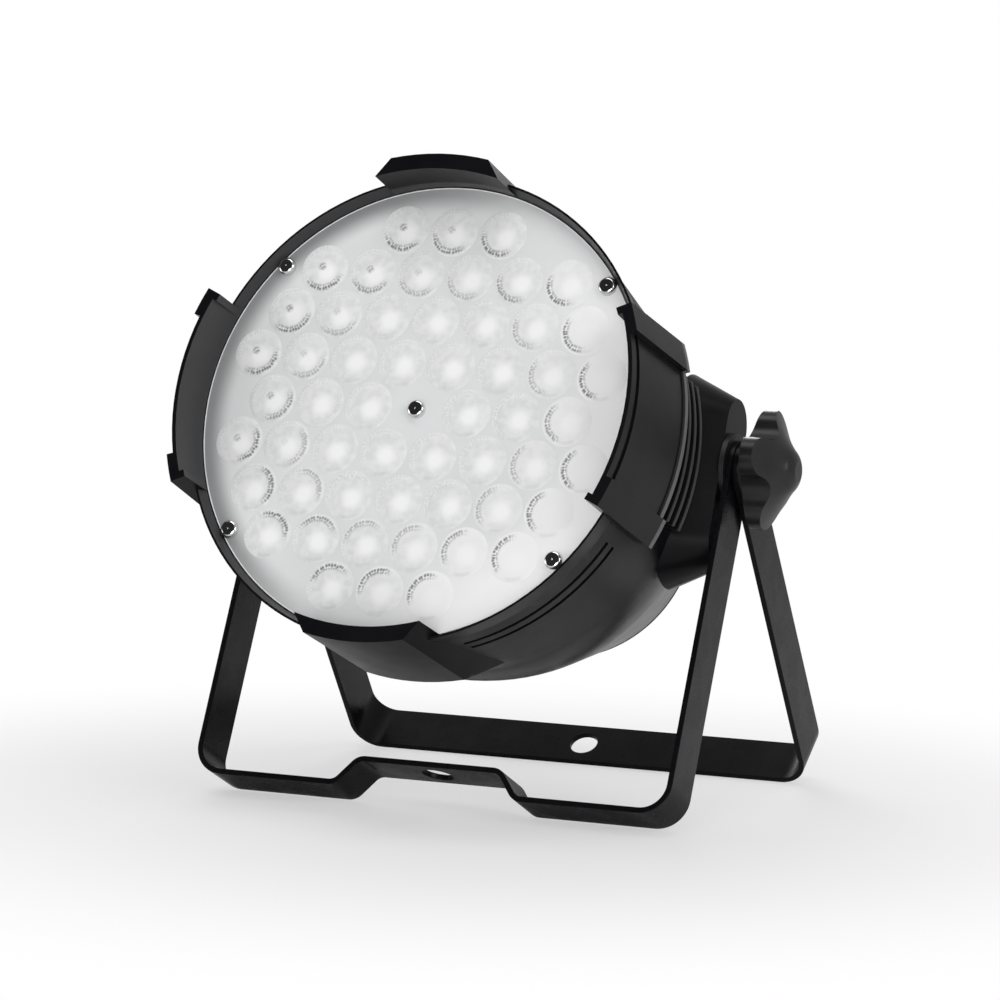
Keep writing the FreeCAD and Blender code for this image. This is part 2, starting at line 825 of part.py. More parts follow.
def socket_body(side):
    """A three-pole chassis socket: a flange outside the cover and a barrel through it."""
    front = cover_back
    flange = rounded_block(xlr_flange_half_width, xlr_flange_half_height, front - xlr_flange_thick, front,
                           xlr_flange_corner_r)
    barrel = disc(xlr_barrel_r, front, front + xlr_depth)
    body = united([flange, barrel])
    holes = [disc(m3_r + running_gap, front - overrun, front, corner * xlr_screw_x, corner * xlr_screw_y)
             for corner in (-1, 1)]
    holes.append(disc(xlr_cup_r, front - overrun, front - xlr_flange_thick + xlr_cup_depth))
    body = body.cut(holes)
    body.translate(Vec(side * xlr_x, -xlr_down, 0))
    return body


def pin_places():
    return [polar(xlr_pin_ring_r, clock) for clock in xlr_pin_clocks]


def dmx_in_pins():
    floor = cover_back - xlr_flange_thick + xlr_cup_depth
    return group([disc(xlr_pin_r, floor - xlr_pin_len, floor, -xlr_x + x, -xlr_down + y)
                  for x, y in pin_places()])


def dmx_out_insert():
    floor = cover_back - xlr_flange_thick + xlr_cup_depth
    insert = disc(xlr_cup_r - 2 * xlr_insert_gap, floor - xlr_cup_depth, floor)
    holes = [disc(xlr_pin_r + xlr_insert_gap, floor - xlr_cup_depth - overrun, floor - loose_gap, x, y)
             for x, y in pin_places()]
    slot = block(-latch_width / 2 - panel_gap, latch_width / 2 + panel_gap,
                 xlr_cup_r - latch_drop - latch_height - panel_gap, xlr_cup_r + overrun,
                 floor - xlr_cup_depth - overrun, cover_back - xlr_flange_thick + latch_depth + overrun)
    insert = insert.cut(holes + [slot])
    insert.translate(Vec(xlr_x, -xlr_down, 0))
    return insert


def release_latch():
    """The push tab that lets a plug go, in its slot at the top of the female socket."""
    outer = cover_back - xlr_flange_thick
    top = xlr_cup_r - latch_drop
    tab = block(-latch_width / 2, latch_width / 2, top - latch_height, top,
                outer - latch_proud, outer + latch_depth)
    tab.translate(Vec(xlr_x, -xlr_down, 0))
    return tab


def power_inlet():
    front = cover_back
    flange = rounded_block(inlet_flange_half_width, inlet_flange_half_height, front - xlr_flange_thick, front,
                           xlr_flange_corner_r)
    body = block(-inlet_half_width, inlet_half_width, -inlet_half_height, inlet_half_height,
                 front, front + inlet_depth)
    cup = block(-inlet_cup_half_width, inlet_cup_half_width, -inlet_cup_half_height, inlet_cup_half_height,
                front - overrun, front - xlr_flange_thick + inlet_cup_depth)
    upright = [e for e in cup.Edges
               if abs(e.tangentAt(e.FirstParameter).z) > upright_share and e.BoundBox.YMin > 0]
    cup = cup.makeChamfer(inlet_blade_height, upright)
    inlet = united([flange, body]).cut(cup)
    inlet.translate(Vec(0, -inlet_down, 0))
    return inlet


def inlet_blades():
    floor = cover_back - xlr_flange_thick + inlet_cup_depth
    blades = []
    for index in (-1, 0, 1):
        x = index * inlet_blade_pitch
        y = -inlet_down + (inlet_blade_offset if index == 0 else -inlet_blade_offset)
        blades.append(block(x - inlet_blade_thick / 2, x + inlet_blade_thick / 2, y - inlet_blade_height / 2,
                            y + inlet_blade_height / 2, floor - inlet_blade_len, floor))
    return group(blades)


# Trunnion hardware, in the head's frame

def pivot_bolt():
    head = cross_disc(bolt_head_r, bolt_seat_x - bolt_head_h, bolt_seat_x, pivot_up)
    shank = cross_disc(pivot_bolt_r, bolt_seat_x, bolt_end_x, pivot_up)
    return united([head, shank])


def pivot_bolts():
    bolt = pivot_bolt()
    return group([bolt, mirrored(bolt)])


def inner_washers():
    ring = cross_disc(inner_washer_r, pad_face_x, pad_face_x + inner_washer_thick, pivot_up)
    ring = ring.cut(cross_disc(pivot_hole_r, pad_face_x - overrun, leg_inner_x + overrun, pivot_up))
    return group([ring, mirrored(ring)])


def outer_washer():
    ring = cross_disc(outer_washer_r, outer_washer_x, outer_washer_x + outer_washer_thick, pivot_up)
    return ring.cut(cross_disc(pivot_hole_r, outer_washer_x - overrun, knob_x + overrun, pivot_up))


def lobed_outline(x):
    """A closed outline of round lobes joined by round valleys, tangent to each other."""
    lobe_centre = knob_tip_r - lobe_r
    step = 2 * math.pi / lobe_count
    half = step / 2
    span = lobe_r + valley_r
    reach = lobe_centre * math.cos(half)
    valley_centre = reach + math.sqrt(span ** 2 - (lobe_centre * math.sin(half)) ** 2)
    edges = []
    for index in range(lobe_count):
        turn = index * step

        def at(radius, angle):
            return Vec(x, radius * math.cos(turn + angle), radius * math.sin(turn + angle))

        centre = at(lobe_centre, 0)
        left = at(valley_centre, -half)
        right = at(valley_centre, half)
        joint_left = centre + (left - centre) * (lobe_r / span)
        joint_right = centre + (right - centre) * (lobe_r / span)
        next_joint = right + (at(lobe_centre, step) - right) * (valley_r / span)
        edges.append(Part.Arc(joint_left, at(knob_tip_r, 0), joint_right).toShape())
        edges.append(Part.Arc(joint_right, at(valley_centre - valley_r, half), next_joint).toShape())
    return Part.Wire(Part.__sortEdges__(edges))


def knob():
    """A lobed clamping knob on the right bolt, with a hub that sweeps out into four lobes."""
    lobe_low = knob_x + knob_rear_taper
    lobe_high = lobe_low + lobe_thick
    hub_end = lobe_high + hub_len
    prism = Part.Face(lobed_outline(knob_x)).extrude(Vec(hub_end + hub_dome_h - knob_x, 0, 0))
    sweep_mid = Vec(lobe_high + hub_len * knob_crown_share, knob_sweep_r, 0)
    start = Vec(lobe_high - knob_rear_taper, knob_tip_r, 0)
    tip = Vec(hub_end + hub_dome_h, 0, 0)
    profile = Part.makePolygon([tip, Vec(knob_x, 0, 0), Vec(knob_x, knob_rear_r, 0),
                                Vec(lobe_low, knob_tip_r, 0), start]).Edges
    profile.append(Part.Arc(start, sweep_mid, Vec(hub_end, hub_r, 0)).toShape())
    dome_mid = Vec(hub_end + hub_dome_h * math.cos(math.pi / 4), hub_r * math.sin(math.pi / 4), 0)
    profile.append(Part.Arc(Vec(hub_end, hub_r, 0), dome_mid, tip).toShape())
    envelope = Part.Face(Part.Wire(Part.__sortEdges__(profile))).revolve(ORIGIN, X_AXIS, full_turn)
    body = prism.common(envelope)
    body = body.cut(cross_disc(insert_r, knob_x - overrun, knob_x + insert_len + loose_gap))
    body.translate(Vec(0, pivot_up, 0))
    return body


def knob_insert():
    sleeve = cross_disc(insert_r, knob_x, knob_x + insert_len, pivot_up)
    return sleeve.cut(cross_disc(pivot_hole_r, knob_x - overrun, knob_x + insert_len - panel_gap, pivot_up))


# Brackets, with the pivot at the origin and the legs hanging down

def offset_corner(before, corner, after, distance):
    """The corner of a polyline moved sideways to its left by a distance, in the XZ plane."""
    into = (corner - before).normalize()
    out = (after - corner).normalize()
    left_in = Vec(-into.z, 0, into.x)
    left_out = Vec(-out.z, 0, out.x)
    mitre = (left_in + left_out).normalize()
    return corner + mitre * (distance / mitre.dot(left_in))


def rounded_run(points, radii):
    """Edges along a polyline whose inner corners are rounded."""
    edges = []
    start = points[0]
    for index in range(1, len(points) - 1):
        corner = points[index]
        into = (corner - points[index - 1]).normalize()
        out = (points[index + 1] - corner).normalize()
        turn = math.acos(max(-1.0, min(1.0, into.dot(out))))
        cut_back = radii[index - 1] * math.tan(turn / 2)
        arc_start = corner - into * cut_back
        arc_end = corner + out * cut_back
        to_middle = (out - into).normalize()
        depth = radii[index - 1] / math.cos(turn / 2) - radii[index - 1]
        edges.append(Part.makeLine(start, arc_start))
        edges.append(Part.Arc(arc_start, corner + to_middle * depth, arc_end).toShape())
        start = arc_end
    edges.append(Part.makeLine(start, points[-1]))
    return edges


def bent_strip(path, inner_radii):
    """A flat strip bent along a path of its outer face; the material lies to the path's left."""
    count = len(path)
    inner = [path[0] + Vec(strip_thick, 0, 0)]
    inner += [offset_corner(path[i - 1], path[i], path[i + 1], strip_thick) for i in range(1, count - 1)]
    inner.append(path[-1] - Vec(strip_thick, 0, 0))
    outer_radii, inner_side_radii = [], []
    for index in range(1, count - 1):
        into = path[index] - path[index - 1]
        out = path[index + 1] - path[index]
        turns_left = into.x * out.z - into.z * out.x > 0
        small = inner_radii[index - 1]
        outer_radii.append(small + strip_thick if turns_left else small)
        inner_side_radii.append(small if turns_left else small + strip_thick)
    edges = rounded_run(path, outer_radii) + rounded_run(inner, inner_side_radii)
    edges += [Part.makeLine(path[0], inner[0]), Part.makeLine(path[-1], inner[-1])]
    face = Part.Face(Part.Wire(Part.__sortEdges__(edges)))
    face.translate(Vec(0, -half_strip, 0))
    return face.extrude(Vec(0, strip_width, 0))


def bracket(outer_x, reach, joggled, hole_r):
    """A U of flat strip: two legs with round ends on the pivot, and a crossbar with one hole."""
    path = [Vec(-outer_x, 0, 0), Vec(-outer_x, 0, -reach)]
    radii = [bend_inner_r]
    hole_z = -reach
    if joggled:
        foot = joggle_half_flat + joggle_run
        raised = -reach + joggle_height
        path += [Vec(-foot, 0, -reach), Vec(-joggle_half_flat, 0, raised),
                 Vec(joggle_half_flat, 0, raised), Vec(foot, 0, -reach)]
        radii += [joggle_inner_r] * 4
        hole_z = raised
    path += [Vec(outer_x, 0, -reach), Vec(outer_x, 0, 0)]
    radii.append(bend_inner_r)
    strip = bent_strip(path, radii)
    ends = [cross_disc(half_strip, outer_x - strip_thick, outer_x),
            cross_disc(half_strip, -outer_x, strip_thick - outer_x)]
    holes = [cross_disc(pivot_hole_r, -outer_x - overrun, outer_x + overrun),
             disc(hole_r, hole_z - overrun, hole_z + strip_thick + overrun)]
    return united([strip] + ends).cut(holes)


def front_bracket():
    strip = bracket(front_outer_x, front_reach, True, front_hole_r)
    strip.rotate(ORIGIN, X_AXIS, -front_lean)
    return strip


def rear_bracket():
    strip = bracket(rear_outer_x, rear_reach, False, rear_hole_r)
    strip.rotate(ORIGIN, X_AXIS, rear_lean)
    return strip


# Assembly

def head_pieces():
    """Every piece that tilts with the head, by node name, in the head's own frame."""
    right_washer, right_knob, right_insert = outer_washer(), knob(), knob_insert()
    pieces = {
        "housing_shell": housing_shell(),
        "lens_plate": lens_plate(),
        "lenses": lenses(),
        "led_emitters": led_emitters(),
        "led_board": led_board(),
        "centre_standoff": centre_standoff(),
        "plate_screws": plate_screws(),
        "heat_sink": heat_sink(),
        "heat_sink_screws": heat_sink_screws(),
        "fan_frame": fan_frame(),
        "fan_rotor": fan_rotor(),
        "fan_screws": fan_screws(),
        "cross_plate": cross_plate(),
        "cross_plate_screws": cross_plate_screws(),
        "power_supply": power_supply(),
        "rear_cover": rear_cover(),
        "cover_screws": cover_screws(),
        "display_window": display_window(),
        "display_module": display_module(),
        "control_board": control_board(),
        "control_posts": control_posts(),
        "tact_switches": tact_switches(),
        "dmx_in": socket_body(-1),
        "dmx_in_pins": dmx_in_pins(),
        "dmx_out": socket_body(1),
        "dmx_out_insert": dmx_out_insert(),
        "release_latch": release_latch(),
        "socket_screws": socket_screws(),
        "power_inlet": power_inlet(),
        "inlet_blades": inlet_blades(),
        "pivot_bolts": pivot_bolts(),
        "inner_washers": inner_washers(),
        "knob_washer_right": right_washer,
        "knob_washer_left": mirrored(right_washer),
        "knob_right": right_knob,
        "knob_left": mirrored(right_knob),
        "knob_insert_right": right_insert,
        "knob_insert_left": mirrored(right_insert),
    }
    for name, x in zip(button_names, button_stations()):
        pieces[name] = button(x)
    return pieces


def hang_head(shape):
    """Turn a piece from the head's frame into the object's, with the pivot at the origin."""
    placed = shape.copy()
    placed.translate(Vec(0, -pivot_up, 0))
    placed.rotate(ORIGIN, X_AXIS, quarter - head_tilt)
    return placed


def main():
    pieces = {name: hang_head(shape) for name, shape in head_pieces().items()}
    pieces["front_bracket"] = front_bracket()
    pieces["rear_bracket"] = rear_bracket()
    box = group(list(pieces.values())).BoundBox
    shift = Vec(0, -(box.YMin + box.YMax) / 2, trunnion_height)
    print("trunnion", [round(v, 4) for v in shift])
    os.makedirs("parts", exist_ok=True)
    for name, shape in pieces.items():
        shape.translate(shift)
        shape.exportStep("parts/%s.step" % name)
        print(name, "solids", len(shape.Solids), "valid", shape.isValid(), "volume", round(shape.Volume))


main()
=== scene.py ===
# %% [markdown]
# # A stage light, dressed for its portrait
# The object is a round LED stage light on a folding bracket. Its measured solids come in as a fixed
# frame, and this lesson gives them their real surfaces: cast and painted metal, clear lenses in a
# white plate, bright screws and moulded knobs. Sizes are in metres, and no solid is moved.

# %% Load the frame
import json
import math

import bpy
from mathutils import Matrix, Vector


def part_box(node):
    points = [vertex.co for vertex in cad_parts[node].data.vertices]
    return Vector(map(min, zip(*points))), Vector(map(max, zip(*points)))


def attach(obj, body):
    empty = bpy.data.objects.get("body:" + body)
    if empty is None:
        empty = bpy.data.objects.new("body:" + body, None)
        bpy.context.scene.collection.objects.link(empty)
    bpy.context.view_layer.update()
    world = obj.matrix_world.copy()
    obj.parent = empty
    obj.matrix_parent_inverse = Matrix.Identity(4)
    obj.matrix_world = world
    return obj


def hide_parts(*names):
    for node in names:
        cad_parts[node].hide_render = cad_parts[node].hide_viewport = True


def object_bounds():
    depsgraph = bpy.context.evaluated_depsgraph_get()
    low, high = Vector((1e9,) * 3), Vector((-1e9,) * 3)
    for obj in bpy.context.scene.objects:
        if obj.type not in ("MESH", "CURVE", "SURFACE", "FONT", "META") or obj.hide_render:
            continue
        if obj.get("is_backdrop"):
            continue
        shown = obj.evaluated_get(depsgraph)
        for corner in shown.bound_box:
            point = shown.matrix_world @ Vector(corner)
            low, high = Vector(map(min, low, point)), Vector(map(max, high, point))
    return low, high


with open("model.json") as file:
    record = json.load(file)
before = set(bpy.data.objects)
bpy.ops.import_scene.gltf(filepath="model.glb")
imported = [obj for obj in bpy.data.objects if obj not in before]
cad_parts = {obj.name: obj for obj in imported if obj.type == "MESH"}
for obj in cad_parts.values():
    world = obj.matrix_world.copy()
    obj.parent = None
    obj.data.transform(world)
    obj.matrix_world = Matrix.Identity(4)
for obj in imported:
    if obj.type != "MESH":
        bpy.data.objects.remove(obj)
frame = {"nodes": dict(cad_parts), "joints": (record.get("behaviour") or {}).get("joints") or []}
cad_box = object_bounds()
mm = 0.001
print("frame nodes", len(frame["nodes"]), "box", [round(v, 4) for corner in cad_box for v in corner])

# %% [markdown]
# The camera comes first, because every later choice is judged through it. It stands to the front
# right of the light, only a little above its middle, and far away with a long lens, so the round
# front stays nearly a circle. Its place is measured from the pivot that the lamp head tilts on.

# %% Camera
tilt_joint = [j for j in frame["joints"] if j["name"] == "head_tilt"][0]
pivot = Vector(tilt_joint["pos_m"])
camera_data = bpy.data.cameras.new("camera")
camera_data.lens = 133.2
camera_data.sensor_width = 36
camera = bpy.data.objects.new("camera", camera_data)
camera.location = pivot + Vector((0.66755, -1.49545, 0.11456))
camera.rotation_euler = [math.radians(a) for a in (85.3188, -1.2006, 24.1986)]
bpy.context.scene.collection.objects.link(camera)
bpy.context.scene.camera = camera
print("camera", [round(v, 3) for v in camera.location])

# %% [markdown]
# The lamp head is tilted up on its pivot. Modelling on a tilt is awkward, so head pieces are built
# standing straight, with the lamp's axis along Z and the front up, and a matrix then hangs them on
# the pivot.

# %% The head's own axes
head_tilt = math.radians(20.9)
axis_drop = 9.3 * mm
HEAD = (Matrix.Translation(pivot) @ Matrix.Rotation(math.pi / 2 - head_tilt, 4, "X")
        @ Matrix.Translation((0, -axis_drop, 0)))
print("pivot", [round(v, 4) for v in pivot])

# %% [markdown]
# A few helpers keep the modelling steps readable. Each does what a hand would do: pick faces by the
# way they look, draw a line of points and turn it about an axis. An operator works on everything
# that is selected, so each piece starts from an empty selection.


# %% Helpers that select and draw
def alone(piece):
    """Leave only this piece selected and active."""
    if bpy.context.object and bpy.context.object.mode != "OBJECT":
        bpy.ops.object.mode_set(mode="OBJECT")
    bpy.ops.object.select_all(action="DESELECT")
    piece.select_set(True)
    bpy.context.view_layer.objects.active = piece


def pick(piece, test):
    """Enter edit mode with only the faces selected whose normal passes a test."""
    alone(piece)
    bpy.context.tool_settings.mesh_select_mode = (False, False, True)
    mesh = piece.data
    for items in (mesh.vertices, mesh.edges, mesh.polygons):
        items.foreach_set("select", [False] * len(items))
    for face in mesh.polygons:
        face.select = test(face.normal)
    bpy.ops.object.mode_set(mode="EDIT")


def trace(name, points):
    """Draw a line of points by extruding each from the one before, and stay in edit mode."""
    bpy.ops.object.select_all(action="DESELECT")
    bpy.context.tool_settings.mesh_select_mode = (True, False, False)
    bpy.ops.mesh.primitive_plane_add(size=mm)
    piece = bpy.context.object
    piece.name = name
    bpy.ops.object.mode_set(mode="EDIT")
    bpy.ops.mesh.select_all(action="SELECT")
    bpy.ops.mesh.merge(type="CENTER")
    bpy.ops.transform.translate(value=Vector(points[0]))
    for here, there in zip(points, points[1:]):
        step = Vector(there) - Vector(here)
        bpy.ops.mesh.extrude_region_move(TRANSFORM_OT_translate={"value": step})
    return piece


def tidy_shell():
    """Merge doubles and turn every face outward, then leave edit mode."""
    bpy.ops.mesh.select_all(action="SELECT")
    bpy.ops.mesh.remove_doubles(threshold=0.01 * mm)
    bpy.ops.mesh.normals_make_consistent(inside=False)
    bpy.ops.object.mode_set(mode="OBJECT")


def spun(name, points, steps, degrees=360.0, closed=False):
    """Turn a line of (radius, z) points in millimetres about Z. A closed line becomes a solid bar."""
    piece = trace(name, [(r * mm, 0, z * mm) for r, z in points])
    bpy.ops.mesh.select_all(action="SELECT")
    if closed:
        bpy.ops.mesh.edge_face_add()
    bpy.ops.mesh.spin(steps=steps, angle=math.radians(degrees), center=(0, 0, 0), axis=(0, 0, 1))
    tidy_shell()
    return piece


print("drawing helpers ready")

# %% [markdown]
# The next helpers shape what was drawn. A modifier is set and then applied at once, so that every
# step works on plain faces, and a piece's place is written into its mesh, so that its own origin
# stays that of the scene.


# %% Helpers that move and round
def place(piece, matrix):
    """Move a piece by a matrix and write its place into its mesh."""
    piece.matrix_world = matrix @ piece.matrix_world
    alone(piece)
    bpy.ops.object.transform_apply(location=True, rotation=True, scale=True)
    return piece


def modify(piece, kind, **values):
    """Add a modifier, set it and apply it."""
    alone(piece)
    modifier = piece.modifiers.new(kind.lower(), kind)
    for name, value in values.items():
        setattr(modifier, name, value)
    bpy.ops.object.modifier_apply(modifier=modifier.name)
    return piece


def round_edges(piece, width, segments=2, angle=35.0):
    """Round every edge sharper than an angle, as a mould or a tumbler does."""
    return modify(piece, "BEVEL", width=width * mm, segments=segments, limit_method="ANGLE",
                  angle_limit=math.radians(angle), harden_normals=False)


def smooth(piece, angle=35.0):
    """Shade faces as one surface, except across edges sharper than an angle."""
    alone(piece)
    bpy.ops.object.shade_smooth_by_angle(angle=math.radians(angle))
    return piece


print("shaping helpers ready")

# %% [markdown]
# Many pieces of the light are alike: lenses, screws, fins, the two sides. One is made and copied,
# and the copies are joined. A finished piece then rides on its body and stands for its solid, and
# its size is printed beside the solid's, so that a slip shows at once.


# %% Helpers that copy and hand over
def joined(name, pieces):
    """One object from several."""
    alone(pieces[0])
    for piece in pieces:
        piece.select_set(True)
    bpy.ops.object.join()
    whole = bpy.context.object
    whole.name = name
    return whole


def twin(piece, matrix):
    """A copy with a mesh of its own, moved by a matrix."""
    copy = piece.copy()
    copy.data = piece.data.copy()
    bpy.context.scene.collection.objects.link(copy)
    return place(copy, matrix)


def mirror_twin(piece):
    """The left-hand copy of a right-hand piece, with its faces turned outward again."""
    copy = twin(piece, Matrix.Scale(-1, 4, (1, 0, 0)))
    alone(copy)
    bpy.ops.object.mode_set(mode="EDIT")
    bpy.ops.mesh.select_all(action="SELECT")
    bpy.ops.mesh.flip_normals()
    bpy.ops.object.mode_set(mode="OBJECT")
    return copy


def settle(piece, body, slot, material, *nodes):
    """Give a finished piece its material and its body, hide the solids that it stands for and print their
    sizes.
    """
    if material:
        piece.data.materials.clear()
        piece.data.materials.append(material)
    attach(piece, body)
    if nodes:
        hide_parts(*nodes)
        low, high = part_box(nodes[0])
        size = [round((b - a) / mm, 1) for a, b in zip(low, high)]
        made = [round(v / mm, 1) for v in piece.dimensions]
        print(piece.name, "stands for", nodes[0], "solid", size, "made", made)
        print("   faces", len(piece.data.polygons))
    return piece


print("copying helpers ready")

# %% [markdown]
# A surface is never perfectly even. Two effects are shared by many finishes here, so each is a node
# group: a fine grain that roughens the surface, and a slow cloudiness that varies gloss and tone, as
# handling and casting leave it.


# %% Shared effects: grain and cloud
def new_group(name, inputs, outputs):
    """An empty node group with its named inputs and outputs."""
    group = bpy.data.node_groups.new(name, "ShaderNodeTree")
    for label, kind, value in inputs:
        socket = group.interface.new_socket(name=label, in_out="INPUT", socket_type=kind)
        socket.default_value = value
    for label, kind in outputs:
        group.interface.new_socket(name=label, in_out="OUTPUT", socket_type=kind)
    return group, group.nodes.new("NodeGroupInput"), group.nodes.new("NodeGroupOutput")


def noise(tree, vector, scale, detail):
    """A noise field from 0 to 1, at a scale that a socket gives."""
    node = tree.nodes.new("ShaderNodeTexNoise")
    node.inputs["Detail"].default_value = detail
    tree.links.new(vector, node.inputs["Vector"])
    tree.links.new(scale, node.inputs["Scale"])
    return node.outputs["Fac"]


def remap(tree, value, low, high, to_low, to_high):
    """A smooth step from one value to another while the given value goes from low to high."""
    node = tree.nodes.new("ShaderNodeMapRange")
    node.interpolation_type = "SMOOTHSTEP"
    tree.links.new(value, node.inputs["Value"])
    labels = ("From Min", "From Max", "To Min", "To Max")
    for label, number in zip(labels, (low, high, to_low, to_high)):
        if isinstance(number, (int, float)):
            node.inputs[label].default_value = number
        else:
            tree.links.new(number, node.inputs[label])
    return node.outputs["Result"]


def cloud_group():
    group, given, result = new_group(
        "cloud", [("Scale", "NodeSocketFloat", 30.0), ("Low", "NodeSocketFloat", 0.4),
                  ("High", "NodeSocketFloat", 0.5)], [("Value", "NodeSocketFloat")])
    place_of = group.nodes.new("ShaderNodeTexCoord").outputs["Object"]
    field = noise(group, place_of, given.outputs["Scale"], 3.0)
    value = remap(group, field, 0.35, 0.65, given.outputs["Low"], given.outputs["High"])
    group.links.new(value, result.inputs["Value"])
    return group


def grain_group():
    group, given, result = new_group(
        "grain", [("Scale", "NodeSocketFloat", 900.0), ("Depth", "NodeSocketFloat", 0.2)],
        [("Normal", "NodeSocketVector")])
    place_of = group.nodes.new("ShaderNodeTexCoord").outputs["Object"]
    field = noise(group, place_of, given.outputs["Scale"], 4.0)
    bump = group.nodes.new("ShaderNodeBump")
    bump.inputs["Distance"].default_value = 0.1 * mm
    group.links.new(given.outputs["Depth"], bump.inputs["Strength"])
    group.links.new(field, bump.inputs["Height"])
    group.links.new(bump.outputs["Normal"], result.inputs["Normal"])
    return group


cloud, grain = cloud_group(), grain_group()
print("groups", cloud.name, grain.name)

# %% [markdown]
# Most finishes on the light are a plain colour with grain and cloud, so one helper makes them all
# from a short list of values. The lenses and the white plate get more than that below.


# %% A helper for plain finishes
def use_group(tree, group, **values):
    """A node that uses a group, with its inputs set by name."""
    node = tree.nodes.new("ShaderNodeGroup")
    node.node_tree = group
    for label, value in values.items():
        node.inputs[label].default_value = value
    return node


def new_material(name):
    """A material, its node tree and its main shader."""
    material = bpy.data.materials.new(name)
    material.use_nodes = True
    return material, material.node_tree, material.node_tree.nodes["Principled BSDF"]


def mix_colours(tree, mask, first, second):
    """The first colour where the mask is 0 and the second where it is 1."""
    node = tree.nodes.new("ShaderNodeMix")
    node.data_type = "RGBA"
    for socket, colour in ((node.inputs[6], first), (node.inputs[7], second)):
        if isinstance(colour, tuple):
            socket.default_value = (*colour, 1)
        else:
            tree.links.new(colour, socket)
    tree.links.new(mask, node.inputs["Factor"])
    return node.outputs[2]


def finish(name, dark, light, rough, grain_scale=900.0, grain_depth=0.15, metal=0.0, coat=0.0,
           sheen=0.5):
    """A painted, moulded or bare finish: two close tones, a range of roughness and a grain."""
    material, tree, shader = new_material(name)
    tone = use_group(tree, cloud, Scale=40.0, Low=0.0, High=1.0)
    colour = mix_colours(tree, tone.outputs["Value"], dark, light)
    tree.links.new(colour, shader.inputs["Base Color"])
    gloss = use_group(tree, cloud, Scale=90.0, Low=rough[0], High=rough[1])
    tree.links.new(gloss.outputs["Value"], shader.inputs["Roughness"])
    bumps = use_group(tree, grain, Scale=grain_scale, Depth=grain_depth)
    tree.links.new(bumps.outputs["Normal"], shader.inputs["Normal"])
    shader.inputs["Metallic"].default_value = metal
    shader.inputs["Coat Weight"].default_value = coat
    shader.inputs["Specular IOR Level"].default_value = sheen
    return material


print("finish helpers ready")

# %% [markdown]
# The housing is a casting in satin black paint. The brackets are steel strip in smoother paint, and
# the knobs and sockets are moulded black plastic. They are all black, but differ in gloss and grain.

# %% Black finishes
paint_dark, paint_light = (0.004, 0.004, 0.005), (0.006, 0.006, 0.007)
cast_paint = finish("cast_paint", paint_dark, paint_light, (0.28, 0.31), 1500.0, 0.02, sheen=0.15)
strip_paint = finish("strip_paint", paint_dark, paint_light, (0.25, 0.32), 1400.0, 0.05, sheen=0.13)
knob_plastic = finish("knob_plastic", (0.009, 0.009, 0.009), (0.013, 0.013, 0.013), (0.28, 0.34),
                      1600.0, 0.04, sheen=0.42)
socket_plastic = finish("socket_plastic", (0.008, 0.008, 0.008), (0.012, 0.012, 0.012), (0.38, 0.46),
                        1500.0, 0.1)
washer_plastic = finish("washer_plastic", (0.014, 0.014, 0.014), (0.02, 0.02, 0.02), (0.4, 0.5),
                        1200.0, 0.1)
fan_plastic = finish("fan_plastic", (0.012, 0.012, 0.012), (0.02, 0.02, 0.02), (0.45, 0.55),
                     1200.0, 0.1)
button_rubber = finish("button_rubber", (0.05, 0.05, 0.052), (0.07, 0.07, 0.072), (0.5, 0.6),
                       1500.0, 0.1)
print("black finishes made")

# %% [markdown]
# Bare metals: bright plated screws, dark oxide screws, turned brass, extruded aluminium and zinc
# plate. Their colour is the colour of their reflection, so metallic is full on. The circuit boards,
# the display and its dark window are plain finishes again.

# %% Metal, board and window finishes
bright_steel = finish("bright_steel", (0.60, 0.60, 0.59), (0.72, 0.72, 0.71), (0.08, 0.14),
                      2200.0, 0.03, metal=1.0)
dark_steel = finish("dark_steel", (0.05, 0.05, 0.05), (0.08, 0.08, 0.08), (0.3, 0.4),
                    2000.0, 0.06, metal=1.0)
brass = finish("brass", (0.62, 0.43, 0.17), (0.72, 0.52, 0.22), (0.25, 0.35),
               2000.0, 0.05, metal=1.0)
aluminium = finish("aluminium", (0.60, 0.61, 0.62), (0.68, 0.69, 0.70), (0.35, 0.45),
                   1500.0, 0.08, metal=1.0)
zinc_plate = finish("zinc_plate", (0.50, 0.51, 0.52), (0.60, 0.61, 0.62), (0.35, 0.5),
                    600.0, 0.08, metal=1.0)
pin_silver = finish("pin_silver", (0.62, 0.62, 0.6), (0.7, 0.7, 0.68), (0.18, 0.28),
                    2000.0, 0.04, metal=1.0)
board_green = finish("board_green", (0.01, 0.08, 0.03), (0.015, 0.11, 0.045), (0.35, 0.45),
                     800.0, 0.05)
board_white = finish("board_white", (0.72, 0.73, 0.72), (0.78, 0.79, 0.78), (0.35, 0.45),
                     800.0, 0.05)
led_yellow = finish("led_yellow", (0.62, 0.5, 0.16), (0.7, 0.6, 0.25), (0.3, 0.4), 1500.0, 0.05)
display_grey = finish("display_grey", (0.03, 0.03, 0.03), (0.05, 0.05, 0.05), (0.2, 0.3),
                      1500.0, 0.03)
window_dark = finish("window_dark", (0.02, 0.003, 0.004), (0.03, 0.005, 0.006), (0.06, 0.12),
                     1500.0, 0.02, coat=0.5)
print("metal, board and window finishes made")

# %% [markdown]
# Some tones depend on where a point lies on the lamp, not on the object. A shared group turns a
# point's place into the head's own axes. It gives the distance from the lamp's axis and the place
# along it, in millimetres, how far a point is on the shaded upper left, how much a face looks
# inwards, and how far a point is to either side.


